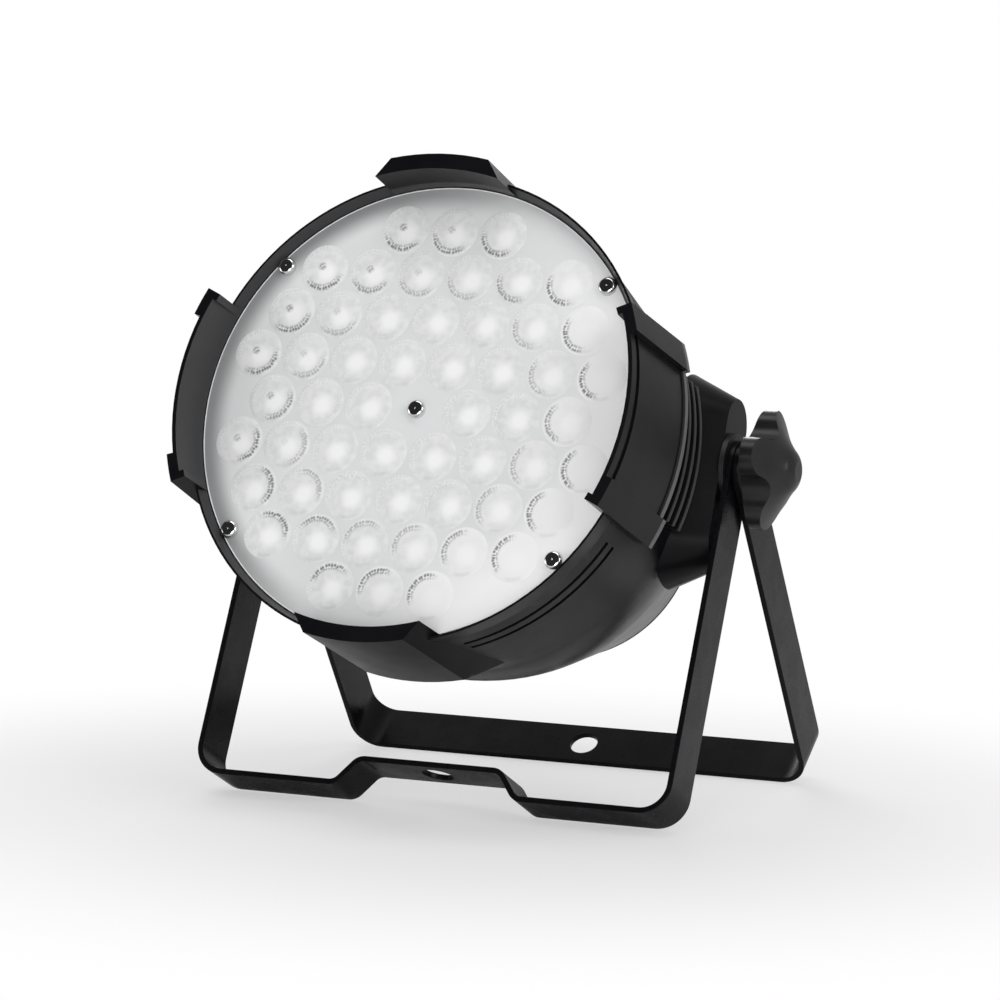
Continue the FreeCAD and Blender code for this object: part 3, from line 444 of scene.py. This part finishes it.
# %% Shared effect: place on the lamp
def vector_node(tree, operation, first, second=None):
    """A vector sum, product or length. The second vector is numbers or a socket."""
    node = tree.nodes.new("ShaderNodeVectorMath")
    node.operation = operation
    tree.links.new(first, node.inputs[0])
    if isinstance(second, tuple):
        node.inputs[1].default_value = second
    elif second is not None:
        tree.links.new(second, node.inputs[1])
    return node


def maths(tree, operation, first, second=0.0):
    """A step of plain arithmetic on numbers or sockets."""
    node = tree.nodes.new("ShaderNodeMath")
    node.operation = operation
    for socket, given in ((node.inputs[0], first), (node.inputs[1], second)):
        if isinstance(given, (int, float)):
            socket.default_value = given
        else:
            tree.links.new(given, socket)
    return node.outputs[0]


def both(tree, first, second):
    """One mask where another one is on, or one value times another."""
    return maths(tree, "MULTIPLY", first, second)


def lamp_place_group():
    outputs = [(name, "NodeSocketFloat") for name in ("Radius", "Along", "Shade", "Inward", "Sideways")]
    group, given, result = new_group("lamp_place", [("Unit", "NodeSocketFloat", 1000.0)], outputs)
    source = group.nodes.new("ShaderNodeTexCoord").outputs
    place_in_head, normal_in_head = [], []
    for row in HEAD.inverted()[:3]:
        axis = tuple(row[:3])
        along_axis = vector_node(group, "DOT_PRODUCT", source["Object"], axis).outputs["Value"]
        facing = vector_node(group, "DOT_PRODUCT", source["Normal"], axis).outputs["Value"]
        place_in_head.append(maths(group, "ADD", along_axis, row[3]))
        normal_in_head.append(facing)
    x, y, z = place_in_head
    radius = maths(group, "SQRT", maths(group, "ADD", both(group, x, x), both(group, y, y)))
    right, up = maths(group, "DIVIDE", x, radius), maths(group, "DIVIDE", y, radius)
    outward = maths(group, "ADD", both(group, right, normal_in_head[0]),
                    both(group, up, normal_in_head[1]))
    shaded = maths(group, "ADD", both(group, right, -0.93), both(group, up, 0.37))
    group.links.new(both(group, radius, given.outputs["Unit"]), result.inputs["Radius"])
    group.links.new(both(group, z, given.outputs["Unit"]), result.inputs["Along"])
    group.links.new(shaded, result.inputs["Shade"])
    group.links.new(both(group, outward, -1.0), result.inputs["Inward"])
    group.links.new(maths(group, "ABSOLUTE", right), result.inputs["Sideways"])
    return group


lamp_place = lamp_place_group()
print("group", lamp_place.name)

# %% [markdown]
# The front plate is white plastic. On the upper left a painted shade darkens it towards the rim, where the
# wall shades it. On the right it is brightened with painted light, and its very edge carries a painted
# highlight, a thin bright line.

# %% White plate finish
plate_radius = 100.0


def white_plate():
    material, tree, shader = new_material("white_plate")
    where = use_group(tree, lamp_place)
    radius, shaded_side = where.outputs["Radius"], where.outputs["Shade"]
    tone = use_group(tree, cloud, Scale=25.0, Low=0.0, High=1.0)
    fresh = mix_colours(tree, tone.outputs["Value"], (0.74, 0.745, 0.75), (0.78, 0.785, 0.79))
    # painted shade: darker towards the rim on the upper left, where the wall shades the plate
    near_rim = remap(tree, radius, plate_radius - 13, plate_radius - 2, 0.0, 1.0)
    shade = both(tree, near_rim, remap(tree, shaded_side, -0.3, 0.7, 0.0, 1.0))
    # painted light: the outer plate is brightened on the right
    outer = remap(tree, radius, 60.0, 90.0, 0.0, 1.0)
    painted_light_right = both(tree, outer, remap(tree, shaded_side, -0.8, -0.2, 1.0, 0.0))
    plate_with_painted_light = mix_colours(tree, painted_light_right, fresh, (0.94, 0.94, 0.94))
    shaded = mix_colours(tree, shade, plate_with_painted_light, (0.3, 0.305, 0.31))
    # painted highlight: a thin bright line at the very edge of the plate
    edge = remap(tree, radius, plate_radius - 0.7, plate_radius - 0.4, 0.0, 1.0)
    colour = mix_colours(tree, edge, shaded, (0.92, 0.92, 0.92))
    tree.links.new(colour, shader.inputs["Base Color"])
    gloss = use_group(tree, cloud, Scale=60.0, Low=0.35, High=0.45)
    tree.links.new(gloss.outputs["Value"], shader.inputs["Roughness"])
    bumps = use_group(tree, grain, Scale=1200.0, Depth=0.05)
    tree.links.new(bumps.outputs["Normal"], shader.inputs["Normal"])
    return material


plate_white = white_plate()
print("plate finish", plate_white.name)

# %% [markdown]
# A lens is a clear moulded cup over one light source. From outside it looks white, as its mirror-like cone
# throws the room's light back, and here that reflected white is painted into its colour. Where its skirt
# looks towards the middle of the plate, a painted dark reflection lies over its tiny pebbles as a patch,
# strong on the outer lenses and faint within. The finish needs to know where a point lies in its own lens
# and where that lens sits on the plate, so every lens carries both as UV maps.

# %% Masks on a lens
uv_span = 250.0
pebbles_round, pebbles_outward, pebble_shift = 6.8, 0.62, 0.37


def uv_place(tree, layer):
    """A UV map read back as millimetres from its middle."""
    node = tree.nodes.new("ShaderNodeUVMap")
    node.uv_map = layer
    middle = vector_node(tree, "SUBTRACT", node.outputs["UV"], (0.5, 0.5, 0.0)).outputs["Vector"]
    return vector_node(tree, "MULTIPLY", middle, (uv_span, uv_span, 0.0)).outputs["Vector"]


def length_of(tree, vector):
    return vector_node(tree, "LENGTH", vector).outputs["Value"]


def heading_of(tree, vector):
    return vector_node(tree, "NORMALIZE", vector).outputs["Vector"]


def turned_to(tree, heading, aim, low, high):
    """A mask that comes on as a heading turns towards an aim."""
    along = vector_node(tree, "DOT_PRODUCT", heading, aim).outputs["Value"]
    return remap(tree, along, low, high, 0.0, 1.0)


def spot(tree, local, middle, inner, outer):
    """A round mask about a point of the lens."""
    offset = vector_node(tree, "SUBTRACT", local, middle).outputs["Vector"]
    return remap(tree, length_of(tree, offset), inner, outer, 1.0, 0.0)


def ring(tree, radius, rise, fall):
    """A mask that comes on over the first pair of radii and goes off over the second."""
    risen = remap(tree, radius, rise[0], rise[1], 0.0, 1.0)
    return both(tree, risen, remap(tree, radius, fall[0], fall[1], 1.0, 0.0))


def lens_pebbles(tree, local, radius, reach):
    """Small round cells laid about the lens, shifted a little from lens to lens."""
    parts = tree.nodes.new("ShaderNodeSeparateXYZ")
    tree.links.new(local, parts.inputs[0])
    angle = maths(tree, "ARCTAN2", parts.outputs["Y"], parts.outputs["X"])
    outward = maths(tree, "ADD", both(tree, radius, pebbles_outward), both(tree, reach, pebble_shift))
    polar = tree.nodes.new("ShaderNodeCombineXYZ")
    tree.links.new(both(tree, angle, pebbles_round), polar.inputs["X"])
    tree.links.new(outward, polar.inputs["Y"])
    cells = tree.nodes.new("ShaderNodeTexVoronoi")
    cells.voronoi_dimensions = "2D"
    cells.inputs["Scale"].default_value = 1.0
    cells.inputs["Randomness"].default_value = 0.45
    tree.links.new(polar.outputs["Vector"], cells.inputs["Vector"])
    return remap(tree, cells.outputs["Distance"], 0.3, 0.58, 1.0, 0.0)


print("lens masks ready")

# %% [markdown]
# The lens starts as clouded white, a painted reflection of the room's light. On it go a painted highlight
# on its upper left shoulder, painted light on the lenses on the right of the plate and a painted
# reflection of the lamp in its middle. It is darkened by the light source seen through it and by a painted
# dark reflection over the pebbles. The two headings are upper left and right as seen from the front.

# %% Lens finish
upper_left = (-0.78, 0.62, 0.0)
far_right = (0.93, -0.37, 0.0)
# painted reflection: the grey of the dark reflection painted over the lens pebbles
painted_dark_reflection_grey = (0.17, 0.17, 0.17)
source_grey = (0.17, 0.165, 0.16)


def lens_painted_dark_reflection(tree, local, seat, pebbles):
    """Where a painted dark reflection lies on a lens: the patch that faces inwards, and a faint painted
    dark dash at its foot.
    """
    radius, reach = length_of(tree, local), length_of(tree, seat)
    heading = heading_of(tree, local)
    leaning = vector_node(tree, "ADD", heading_of(tree, seat), (0.5, 0.4, 0.0)).outputs["Vector"]
    inwards = vector_node(tree, "SCALE", heading_of(tree, leaning))
    inwards.inputs["Scale"].default_value = -1.0
    skirt = ring(tree, radius, (6.3, 8.6), (9.5, 10.2))
    edge = ring(tree, radius, (8.6, 9.2), (10.0, 10.6))
    strength = remap(tree, reach, 38.0, 82.0, 0.03, 0.95)
    patch = both(tree, turned_to(tree, heading, inwards.outputs["Vector"], 0.25, 0.85), strength)
    dash = both(tree, turned_to(tree, heading, (0.12, -0.993, 0.0), 0.88, 0.985), edge)
    return maths(tree, "MAXIMUM", both(tree, both(tree, patch, skirt), pebbles), both(tree, dash, 0.12))


def lens_source(tree, local, seat, pebbles):
    """The small dark source in the middle, seen in the outer lenses of the upper left."""
    outer = remap(tree, length_of(tree, seat), 48.0, 75.0, 0.0, 1.0)
    outer_left = both(tree, turned_to(tree, heading_of(tree, seat), upper_left, 0.35, 0.8), outer)
    middle = spot(tree, local, (-0.9, 1.0, 0.0), 0.8, 2.4)
    return both(tree, both(tree, middle, outer_left), pebbles)


def lens_white_tones(tree, local, seat, pebbles):
    """The clouded white of painted reflected light, with a painted highlight on the shoulder, painted
    light on the right of the plate and a painted reflection of the lamp.
    """
    radius, reach = length_of(tree, local), length_of(tree, seat)
    tone = use_group(tree, cloud, Scale=330.0, Low=0.0, High=1.0)
    # painted reflection: the clouded white stands in for the room's light that the lens throws back
    colour = mix_colours(tree, tone.outputs["Value"], (0.74, 0.745, 0.75), (0.82, 0.82, 0.82))
    # painted highlight on the upper left shoulder, with darker pebble marks within it
    painted_shoulder_highlight = both(tree, remap(tree, radius, 7.6, 8.8, 0.0, 1.0),
                    turned_to(tree, heading_of(tree, local), upper_left, -0.1, 0.7))
    shoulder_highlight_amount = both(tree, painted_shoulder_highlight, 0.7)
    colour = mix_colours(tree, shoulder_highlight_amount, colour, (0.90, 0.90, 0.90))
    colour = mix_colours(tree, both(tree, both(tree, shoulder_highlight_amount, pebbles), 0.35), colour, (0.5, 0.5, 0.5))
    outer = remap(tree, reach, 50.0, 80.0, 0.0, 1.0)
    # painted light on the lenses at the right of the plate
    lens_painted_light_right = both(tree, turned_to(tree, heading_of(tree, seat), far_right, 0.1, 0.7), outer)
    colour = mix_colours(tree, lens_painted_light_right, colour, (0.93, 0.93, 0.93))
    # painted reflection of the lamp in the middle of the lens
    return mix_colours(tree, spot(tree, local, (1.7, -1.5, 0.0), 1.5, 7.0), colour, (0.96, 0.96, 0.96))


def lens_finish():
    material, tree, shader = new_material("lens_white")
    local, seat = uv_place(tree, "in_lens"), uv_place(tree, "on_plate")
    pebbles = lens_pebbles(tree, local, length_of(tree, local), length_of(tree, seat))
    colour = lens_white_tones(tree, local, seat, pebbles)
    source = both(tree, lens_source(tree, local, seat, pebbles), 0.85)
    colour = mix_colours(tree, source, colour, source_grey)
    # painted dark reflection over the pebbles, with a faint painted dark dash at each lens's foot
    painted_dark_spots = both(tree, lens_painted_dark_reflection(tree, local, seat, pebbles), 0.9)
    colour = mix_colours(tree, painted_dark_spots, colour, painted_dark_reflection_grey)
    tree.links.new(colour, shader.inputs["Base Color"])
    bumps = use_group(tree, grain, Scale=420.0, Depth=0.12)
    tree.links.new(bumps.outputs["Normal"], shader.inputs["Normal"])
    gloss = use_group(tree, cloud, Scale=200.0, Low=0.3, High=0.42)
    tree.links.new(gloss.outputs["Value"], shader.inputs["Roughness"])
    return material


lens_white = lens_finish()
print("lens finish", lens_white.name)

# %% [markdown]
# One lens is modelled: a line is drawn from the skirt over the thin flange and the low crown to the
# middle and turned about the lens's axis. Its first UV map says where a point lies in the lens.

# %% One lens
lens_line = [(10.2, 88.0), (10.4, 93.0), (10.44, 93.31), (10.95, 93.32), (10.98, 93.36), (10.6, 93.47),
             (10.0, 93.62), (9.0, 93.8), (7.6, 93.93), (5.6, 93.99), (3.6, 94.0), (1.6, 94.0), (0.0, 94.0)]
lens = smooth(spun("lens", lens_line, steps=32), 60)
lens.data.materials.append(lens_white)


def write_uv(piece, name, value_at):
    """Fill a UV map from each corner's point, in millimetres about the middle of the map."""
    layer = piece.data.uv_layers.get(name) or piece.data.uv_layers.new(name=name)
    for corner in piece.data.loops:
        x, y = value_at(piece.data.vertices[corner.vertex_index].co)
        layer.data[corner.index].uv = (0.5 + x / uv_span, 0.5 + y / uv_span)


while lens.data.uv_layers:
    lens.data.uv_layers.remove(lens.data.uv_layers[0])
write_uv(lens, "in_lens", lambda p: (p.x / mm, p.y / mm))
print("one lens has", len(lens.data.polygons), "faces")

# %% [markdown]
# The lens is then copied to every place of the pattern, rows of 3, 6, 7, 8, 6, 8, 7, 6 and 3, and
# the middle place is left for the screw. The plate sits turned a little. A second UV map gives
# every copy the place of its seat.

# %% All lenses
lens_pitch, lens_reach = 23.0, 85.1
plate_front = 93.3
plate_turn = math.radians(-1.7)


def lens_places():
    """The seats of a pattern of equal triangles that lie within the reach."""
    places = []
    for row in range(-4, 5):
        for column in range(-5, 6):
            x = (column + (row % 2) / 2) * lens_pitch
            y = row * lens_pitch * math.sqrt(3) / 2
            if 0 < math.hypot(x, y) <= lens_reach:
                places.append(Matrix.Rotation(plate_turn, 2) @ Vector((x, y)))
    return places


copies = []
for seat in lens_places():
    copy = twin(lens, Matrix.Translation((seat.x * mm, seat.y * mm, 0)))
    write_uv(copy, "on_plate", lambda p: seat)
    copies.append(copy)
bpy.data.objects.remove(lens)
lenses = place(joined("lenses_dressed", copies), HEAD)
settle(lenses, "head", "lens_clear", None, "lenses")

# %% [markdown]
# Screw heads catch the eye because they are the only bright metal in front. A head is a short
# cylinder with its top edge rounded over in several steps, and a cross is cut into it by subtracting
# a small tapered cross.

# %% Pan head screws
screw_circle = 96.2
screw_clocks = (38.3, 141.7, 218.3, 321.7)
first_turn, turn_between = 0.35, 1.1


def pan_head(name, radius, height, recess):
    """A screw head standing on z = 0, with the width of its cross recess."""
    bpy.ops.object.select_all(action="DESELECT")
    bpy.ops.mesh.primitive_cylinder_add(vertices=40, radius=radius * mm, depth=height * mm,
                                        location=(0, 0, height * mm / 2))
    head = place(bpy.context.object, Matrix())
    pick(head, lambda normal: normal.z > 0.9)
    bpy.ops.mesh.bevel(offset=height * 0.62 * mm, segments=5, affect="EDGES")
    bpy.ops.object.mode_set(mode="OBJECT")
    arms = []
    for angle in (0, 90):
        bpy.ops.object.select_all(action="DESELECT")
        bpy.ops.mesh.primitive_cube_add(size=mm)
        arm = bpy.context.object
        arm.scale = (recess, recess * 0.27, height * 1.2)
        place(arm, Matrix.Rotation(math.radians(angle), 4, "Z") @ Matrix.Translation((0, 0, height * mm)))
        pick(arm, lambda normal: normal.z < -0.9)
        bpy.ops.transform.resize(value=(0.5, 0.5, 1))
        bpy.ops.object.mode_set(mode="OBJECT")
        arms.append(arm)
    for arm in arms:
        modify(head, "BOOLEAN", operation="DIFFERENCE", object=arm, solver="EXACT")
        bpy.data.objects.remove(arm)
    head.name = name
    return smooth(head, 40)


def seated(master, x, y, turn):
    """A copy of the screw head on the plate, turned as the driver left it."""
    seat = Matrix.Translation((x * mm, y * mm, plate_front * mm))
    return twin(master, seat @ Matrix.Rotation(turn, 4, "Z"))


m4_head = pan_head("m4_head", radius=4.0, height=2.6, recess=4.6)
heads = [seated(m4_head, 0, 0, 0.6)]
for index, clock in enumerate(screw_clocks):
    angle = math.radians(clock) + plate_turn
    x, y = screw_circle * math.cos(angle), screw_circle * math.sin(angle)
    heads.append(seated(m4_head, x, y, first_turn + turn_between * index))
plate_screws = place(joined("plate_screws_dressed", heads), HEAD)
settle(plate_screws, "head", "screw_steel", bright_steel, "plate_screws")
bpy.data.objects.remove(m4_head)

# %% [markdown]
# The solids of the housing, brackets and covers already have the right shape, with edges as sharp
# as drawn. A real edge is always a little round and shows as a thin line of light. So each is
# copied, its triangles are merged back into clean faces, and its edges are rounded.

# %% A helper for softened copies
casting_edge, strip_edge, knob_edge = 0.3, 0.35, 0.6


def softened(node, body, slot, material, width, segments=2, angle=30.0):
    """A copy of a solid with its edges rounded by a width in millimetres."""
    source = frame["nodes"][node]
    copy = source.copy()
    copy.data = source.data.copy()
    copy.name = node + "_dressed"
    bpy.context.scene.collection.objects.link(copy)
    alone(copy)
    copy.parent = None
    for key in list(copy.keys()):
        del copy[key]
    bpy.ops.object.mode_set(mode="EDIT")
    bpy.ops.mesh.select_all(action="SELECT")
    bpy.ops.mesh.remove_doubles(threshold=0.005 * mm)
    bpy.ops.mesh.dissolve_limited(angle_limit=math.radians(0.1))
    bpy.ops.object.mode_set(mode="OBJECT")
    round_edges(copy, width, segments, angle)
    smooth(copy, angle)
    modify(copy, "WEIGHTED_NORMAL", mode="FACE_AREA_WITH_ANGLE", weight=50, keep_sharp=True)
    return settle(copy, body, slot, material, node)


print("softening helper ready")

# %% [markdown]
# Light is painted into the casting's colour in a few places: a painted reflection inside the rim and
# inside the two side lugs, and painted highlights along the edges of the cooling fins and on the lugs'
# ridges. They are found by their place on the lamp, in millimetres.

# %% Painted light on the housing
rim_top, fin_front, lug_middle = 99.0, 47.0, 56.0
# painted light: the grey of the painted reflections and fin-edge highlights, and of the ridge highlight
painted_light_grey, painted_ridge_highlight_grey = (0.05, 0.05, 0.052), (0.12, 0.12, 0.12)


def paint_housing_light(material):
    """Paint light into the casting's colour: painted reflections on inner faces, painted highlights on fin
    edges and ridges.
    """
    tree = material.node_tree
    shader = tree.nodes["Principled BSDF"]
    base = shader.inputs["Base Color"].links[0].from_socket
    where = use_group(tree, lamp_place)
    radius, along = where.outputs["Radius"], where.outputs["Along"]
    ahead = remap(tree, along, plate_front, plate_front + 0.4, 0.0, 1.0)
    inside = both(tree, remap(tree, where.outputs["Inward"], 0.4, 0.7, 0.0, 1.0), ahead)
    in_rim = remap(tree, along, rim_top - 0.2, rim_top + 0.2, 1.0, 0.0)
    in_lug = remap(tree, where.outputs["Sideways"], 0.5, 0.6, 0.0, 1.0)
    # painted reflection on the inward faces inside the rim and the side lugs
    painted_inner_reflection = both(tree, inside, maths(tree, "MAXIMUM", in_rim, in_lug))
    from_lug = maths(tree, "ABSOLUTE", maths(tree, "SUBTRACT", along, lug_middle))
    ridge = both(tree, remap(tree, radius, 105.6, 106.4, 0.0, 1.0),
                 remap(tree, from_lug, 5.6, 6.2, 1.0, 0.0))
    fin_edge = both(tree, remap(tree, radius, 104.2, 104.7, 0.0, 1.0),
                    remap(tree, from_lug, 28.0, 28.5, 1.0, 0.0))
    # painted highlight along the outer edges of the cooling fins
    in_fins = both(tree, fin_edge, remap(tree, along, fin_front, fin_front + 1.0, 1.0, 0.0))
    toned = mix_colours(tree, maths(tree, "MAXIMUM", painted_inner_reflection, in_fins), base, painted_light_grey)
    # painted highlight on the lugs' ridges
    painted_ridge_highlight = both(tree, ridge, in_lug)
    tree.links.new(mix_colours(tree, painted_ridge_highlight, toned, painted_ridge_highlight_grey), shader.inputs["Base Color"])


paint_housing_light(cast_paint)
housing = softened("housing_shell", "head", "housing_black", cast_paint, casting_edge)

# %% [markdown]
# Beside each pivot the casting carries three upright cooling fins. Each is a small closed section
# turned a short way about the lamp's axis, and they are joined to the housing, as they are cast in
# one with it.

# %% Cooling fins
fin_stations, fin_reach, fin_root = (44.5, 37.5, 30.5), 105.0, 90.0
fin_half, fin_taper, fin_span, fin_turn = 1.5, 0.6, 36.0, math.radians(20)
fins = []
for station in fin_stations:
    corners = [(fin_root, station - fin_half), (fin_reach - fin_taper, station - fin_half),
               (fin_reach, station), (fin_reach - fin_taper, station + fin_half),
               (fin_root, station + fin_half)]
    fins.append(round_edges(spun("fin", corners, steps=18, degrees=fin_span, closed=True), 0.5))
fins_right = place(joined("fins", fins), HEAD @ Matrix.Rotation(fin_turn, 4, "Z"))
fins_left = mirror_twin(fins_right)
for piece in (fins_right, fins_left):
    piece.data.materials.append(cast_paint)
    smooth(piece, 30.0)
housing = joined("housing_shell_dressed", [housing, fins_right, fins_left])
print("housing with fins", len(housing.data.polygons), "faces")

# %% [markdown]
# The brackets, the rear cover and the knobs are softened in the same way. The knobs are moulded, so
# their edges are the roundest and take three steps.

# %% Softened brackets, cover and knobs
for bracket in ("front_bracket", "rear_bracket"):
    softened(bracket, bracket, "bracket_black", strip_paint, strip_edge)
softened("rear_cover", "head", "housing_black", cast_paint, casting_edge)
for knob in ("knob_right", "knob_left"):
    softened(knob, knob, "knob_black", knob_plastic, knob_edge, segments=3)

# %% [markdown]
# The remaining solids keep their own meshes and only take a finish. Each is matched to its finish by its
# name.

# %% Finishes for the solids that stay
finishes = {
    "lens_plate": plate_white, "led_emitters": led_yellow, "led_board": board_white,
    "centre_standoff": zinc_plate, "heat_sink": aluminium, "heat_sink_screws": bright_steel,
    "fan_frame": fan_plastic, "fan_rotor": fan_plastic, "fan_screws": dark_steel,
    "cross_plate": zinc_plate, "cross_plate_screws": bright_steel, "power_supply": zinc_plate,
    "cover_screws": dark_steel, "display_window": window_dark, "display_module": display_grey,
    "control_board": board_green, "control_posts": zinc_plate, "tact_switches": display_grey,
    "dmx_in": socket_plastic, "dmx_in_pins": pin_silver,
    "dmx_out": socket_plastic, "dmx_out_insert": socket_plastic, "release_latch": pin_silver,
    "socket_screws": dark_steel, "power_inlet": socket_plastic, "inlet_blades": pin_silver,
    "pivot_bolts": zinc_plate, "inner_washers": washer_plastic, "knob_washer_right": washer_plastic,
    "knob_washer_left": washer_plastic, "knob_insert_right": brass, "knob_insert_left": brass,
    "button_menu": button_rubber, "button_down": button_rubber, "button_up": button_rubber,
    "button_enter": button_rubber,
}
for node, material in finishes.items():
    solid = frame["nodes"][node]
    solid.data.materials.clear()
    solid.data.materials.append(material)
print("finished solids", len(finishes))

# %% [markdown]
# The light stands in a bright studio. Black paint shows nothing but what it mirrors, so soft panels
# stand in front, on both sides, above and behind. All of them look at the middle of the light.

# %% Lamps
target = (0, 0, 0.16)


def soft_panel(name, place_at, size, power):
    """A rectangular lamp that looks at the target, with its power in watts."""
    data = bpy.data.lights.new(name, "AREA")
    data.shape = "RECTANGLE"
    data.size, data.size_y = size
    data.energy = power
    lamp = bpy.data.objects.new(name, data)
    lamp.location = place_at
    lamp.rotation_euler = (Vector(target) - Vector(place_at)).to_track_quat("-Z", "Y").to_euler()
    bpy.context.scene.collection.objects.link(lamp)
    return lamp


soft_panel("front_panel", (0.42, -2.05, 0.38), (1.1, 0.8), 14)
soft_panel("left_panel", (-1.85, -0.95, 0.3), (1.0, 1.0), 9)
soft_panel("side_panel", (1.8, -0.9, 1.0), (1.0, 1.0), 12)
soft_panel("top_panel", (-0.1, -0.4, 2.1), (1.4, 1.0), 10)
soft_panel("back_panel", (-0.9, 1.5, 0.9), (1.2, 0.9), 12)
print("lamps", [lamp.name for lamp in bpy.data.lights])

# %% [markdown]
# The floor is white and glows into the white background further out, but keeps the shadow near the
# object. Only the camera sees that glow, so it adds no light.

# %% Floor
floor_radius, floor_drop = 6.0, 0.2 * mm


def studio_floor():
    bpy.ops.object.select_all(action="DESELECT")
    bpy.ops.mesh.primitive_circle_add(vertices=96, radius=floor_radius, fill_type="NGON")
    floor = bpy.context.object
    floor.name = "floor"
    floor.location.z = -floor_drop
    material, tree, shader = new_material("studio_white")
    shader.inputs["Base Color"].default_value = (0.86, 0.86, 0.86, 1)
    shader.inputs["Roughness"].default_value = 0.9
    glow = tree.nodes.new("ShaderNodeEmission")
    seen = tree.nodes.new("ShaderNodeLightPath")
    away = tree.nodes.new("ShaderNodeTexGradient")
    away.gradient_type = "SPHERICAL"
    spread = tree.nodes.new("ShaderNodeMapping")
    spread.inputs["Scale"].default_value = (2.4, 2.4, 2.4)
    tree.links.new(tree.nodes.new("ShaderNodeTexCoord").outputs["Object"], spread.inputs["Vector"])
    tree.links.new(spread.outputs["Vector"], away.inputs["Vector"])
    fade = remap(tree, away.outputs["Fac"], 0.0, 0.65, 1.0, 0.5)
    blend = tree.nodes.new("ShaderNodeMixShader")
    tree.links.new(both(tree, fade, seen.outputs["Is Camera Ray"]), blend.inputs["Fac"])
    tree.links.new(shader.outputs["BSDF"], blend.inputs[1])
    tree.links.new(glow.outputs["Emission"], blend.inputs[2])
    tree.links.new(blend.outputs["Shader"], tree.nodes["Material Output"].inputs["Surface"])
    floor.data.materials.append(material)
    floor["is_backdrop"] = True
    return floor


floor = studio_floor()
print("floor", floor.name)

# %% [markdown]
# The camera sees a white background. What the light mirrors is a dimmer room, which is dark in the
# direction that the front faces mirror to the camera, so that they stay black.

# %% World
room_strength = 0.45
dark_way = (-0.416, -0.733, 0.539)


def studio_world():
    world = bpy.data.worlds.new("studio")
    world.use_nodes = True
    bpy.context.scene.world = world
    tree = world.node_tree
    room = tree.nodes["Background"]
    room.inputs["Strength"].default_value = room_strength
    way = tree.nodes.new("ShaderNodeTexCoord").outputs["Generated"]
    towards = vector_node(tree, "DOT_PRODUCT", way, dark_way).outputs["Value"]
    dark = remap(tree, towards, 0.45, 0.85, 0.0, 1.0)
    tree.links.new(mix_colours(tree, dark, (1.0, 1.0, 1.0), (0.06, 0.06, 0.06)), room.inputs["Color"])
    white = tree.nodes.new("ShaderNodeBackground")
    white.inputs["Color"].default_value = (1, 1, 1, 1)
    white.inputs["Strength"].default_value = 1.0
    path = tree.nodes.new("ShaderNodeLightPath")
    blend = tree.nodes.new("ShaderNodeMixShader")
    tree.links.new(path.outputs["Is Camera Ray"], blend.inputs["Fac"])
    tree.links.new(room.outputs["Background"], blend.inputs[1])
    tree.links.new(white.outputs["Background"], blend.inputs[2])
    tree.links.new(blend.outputs["Shader"], tree.nodes["World Output"].inputs["Surface"])
    return world


studio_world()
bpy.context.scene.view_settings.view_transform = "Standard"
print("studio ready")

# %% [markdown]
# The last cell compares the dressed object's box with the frame's and prints how much it has grown.

# %% Finish
bpy.context.view_layer.update()
look_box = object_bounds()
grown = [(b - a) / mm for low, high in zip(cad_box, look_box) for a, b in zip(low, high)]
print("grown by (mm)", [round(v, 2) for v in grown])
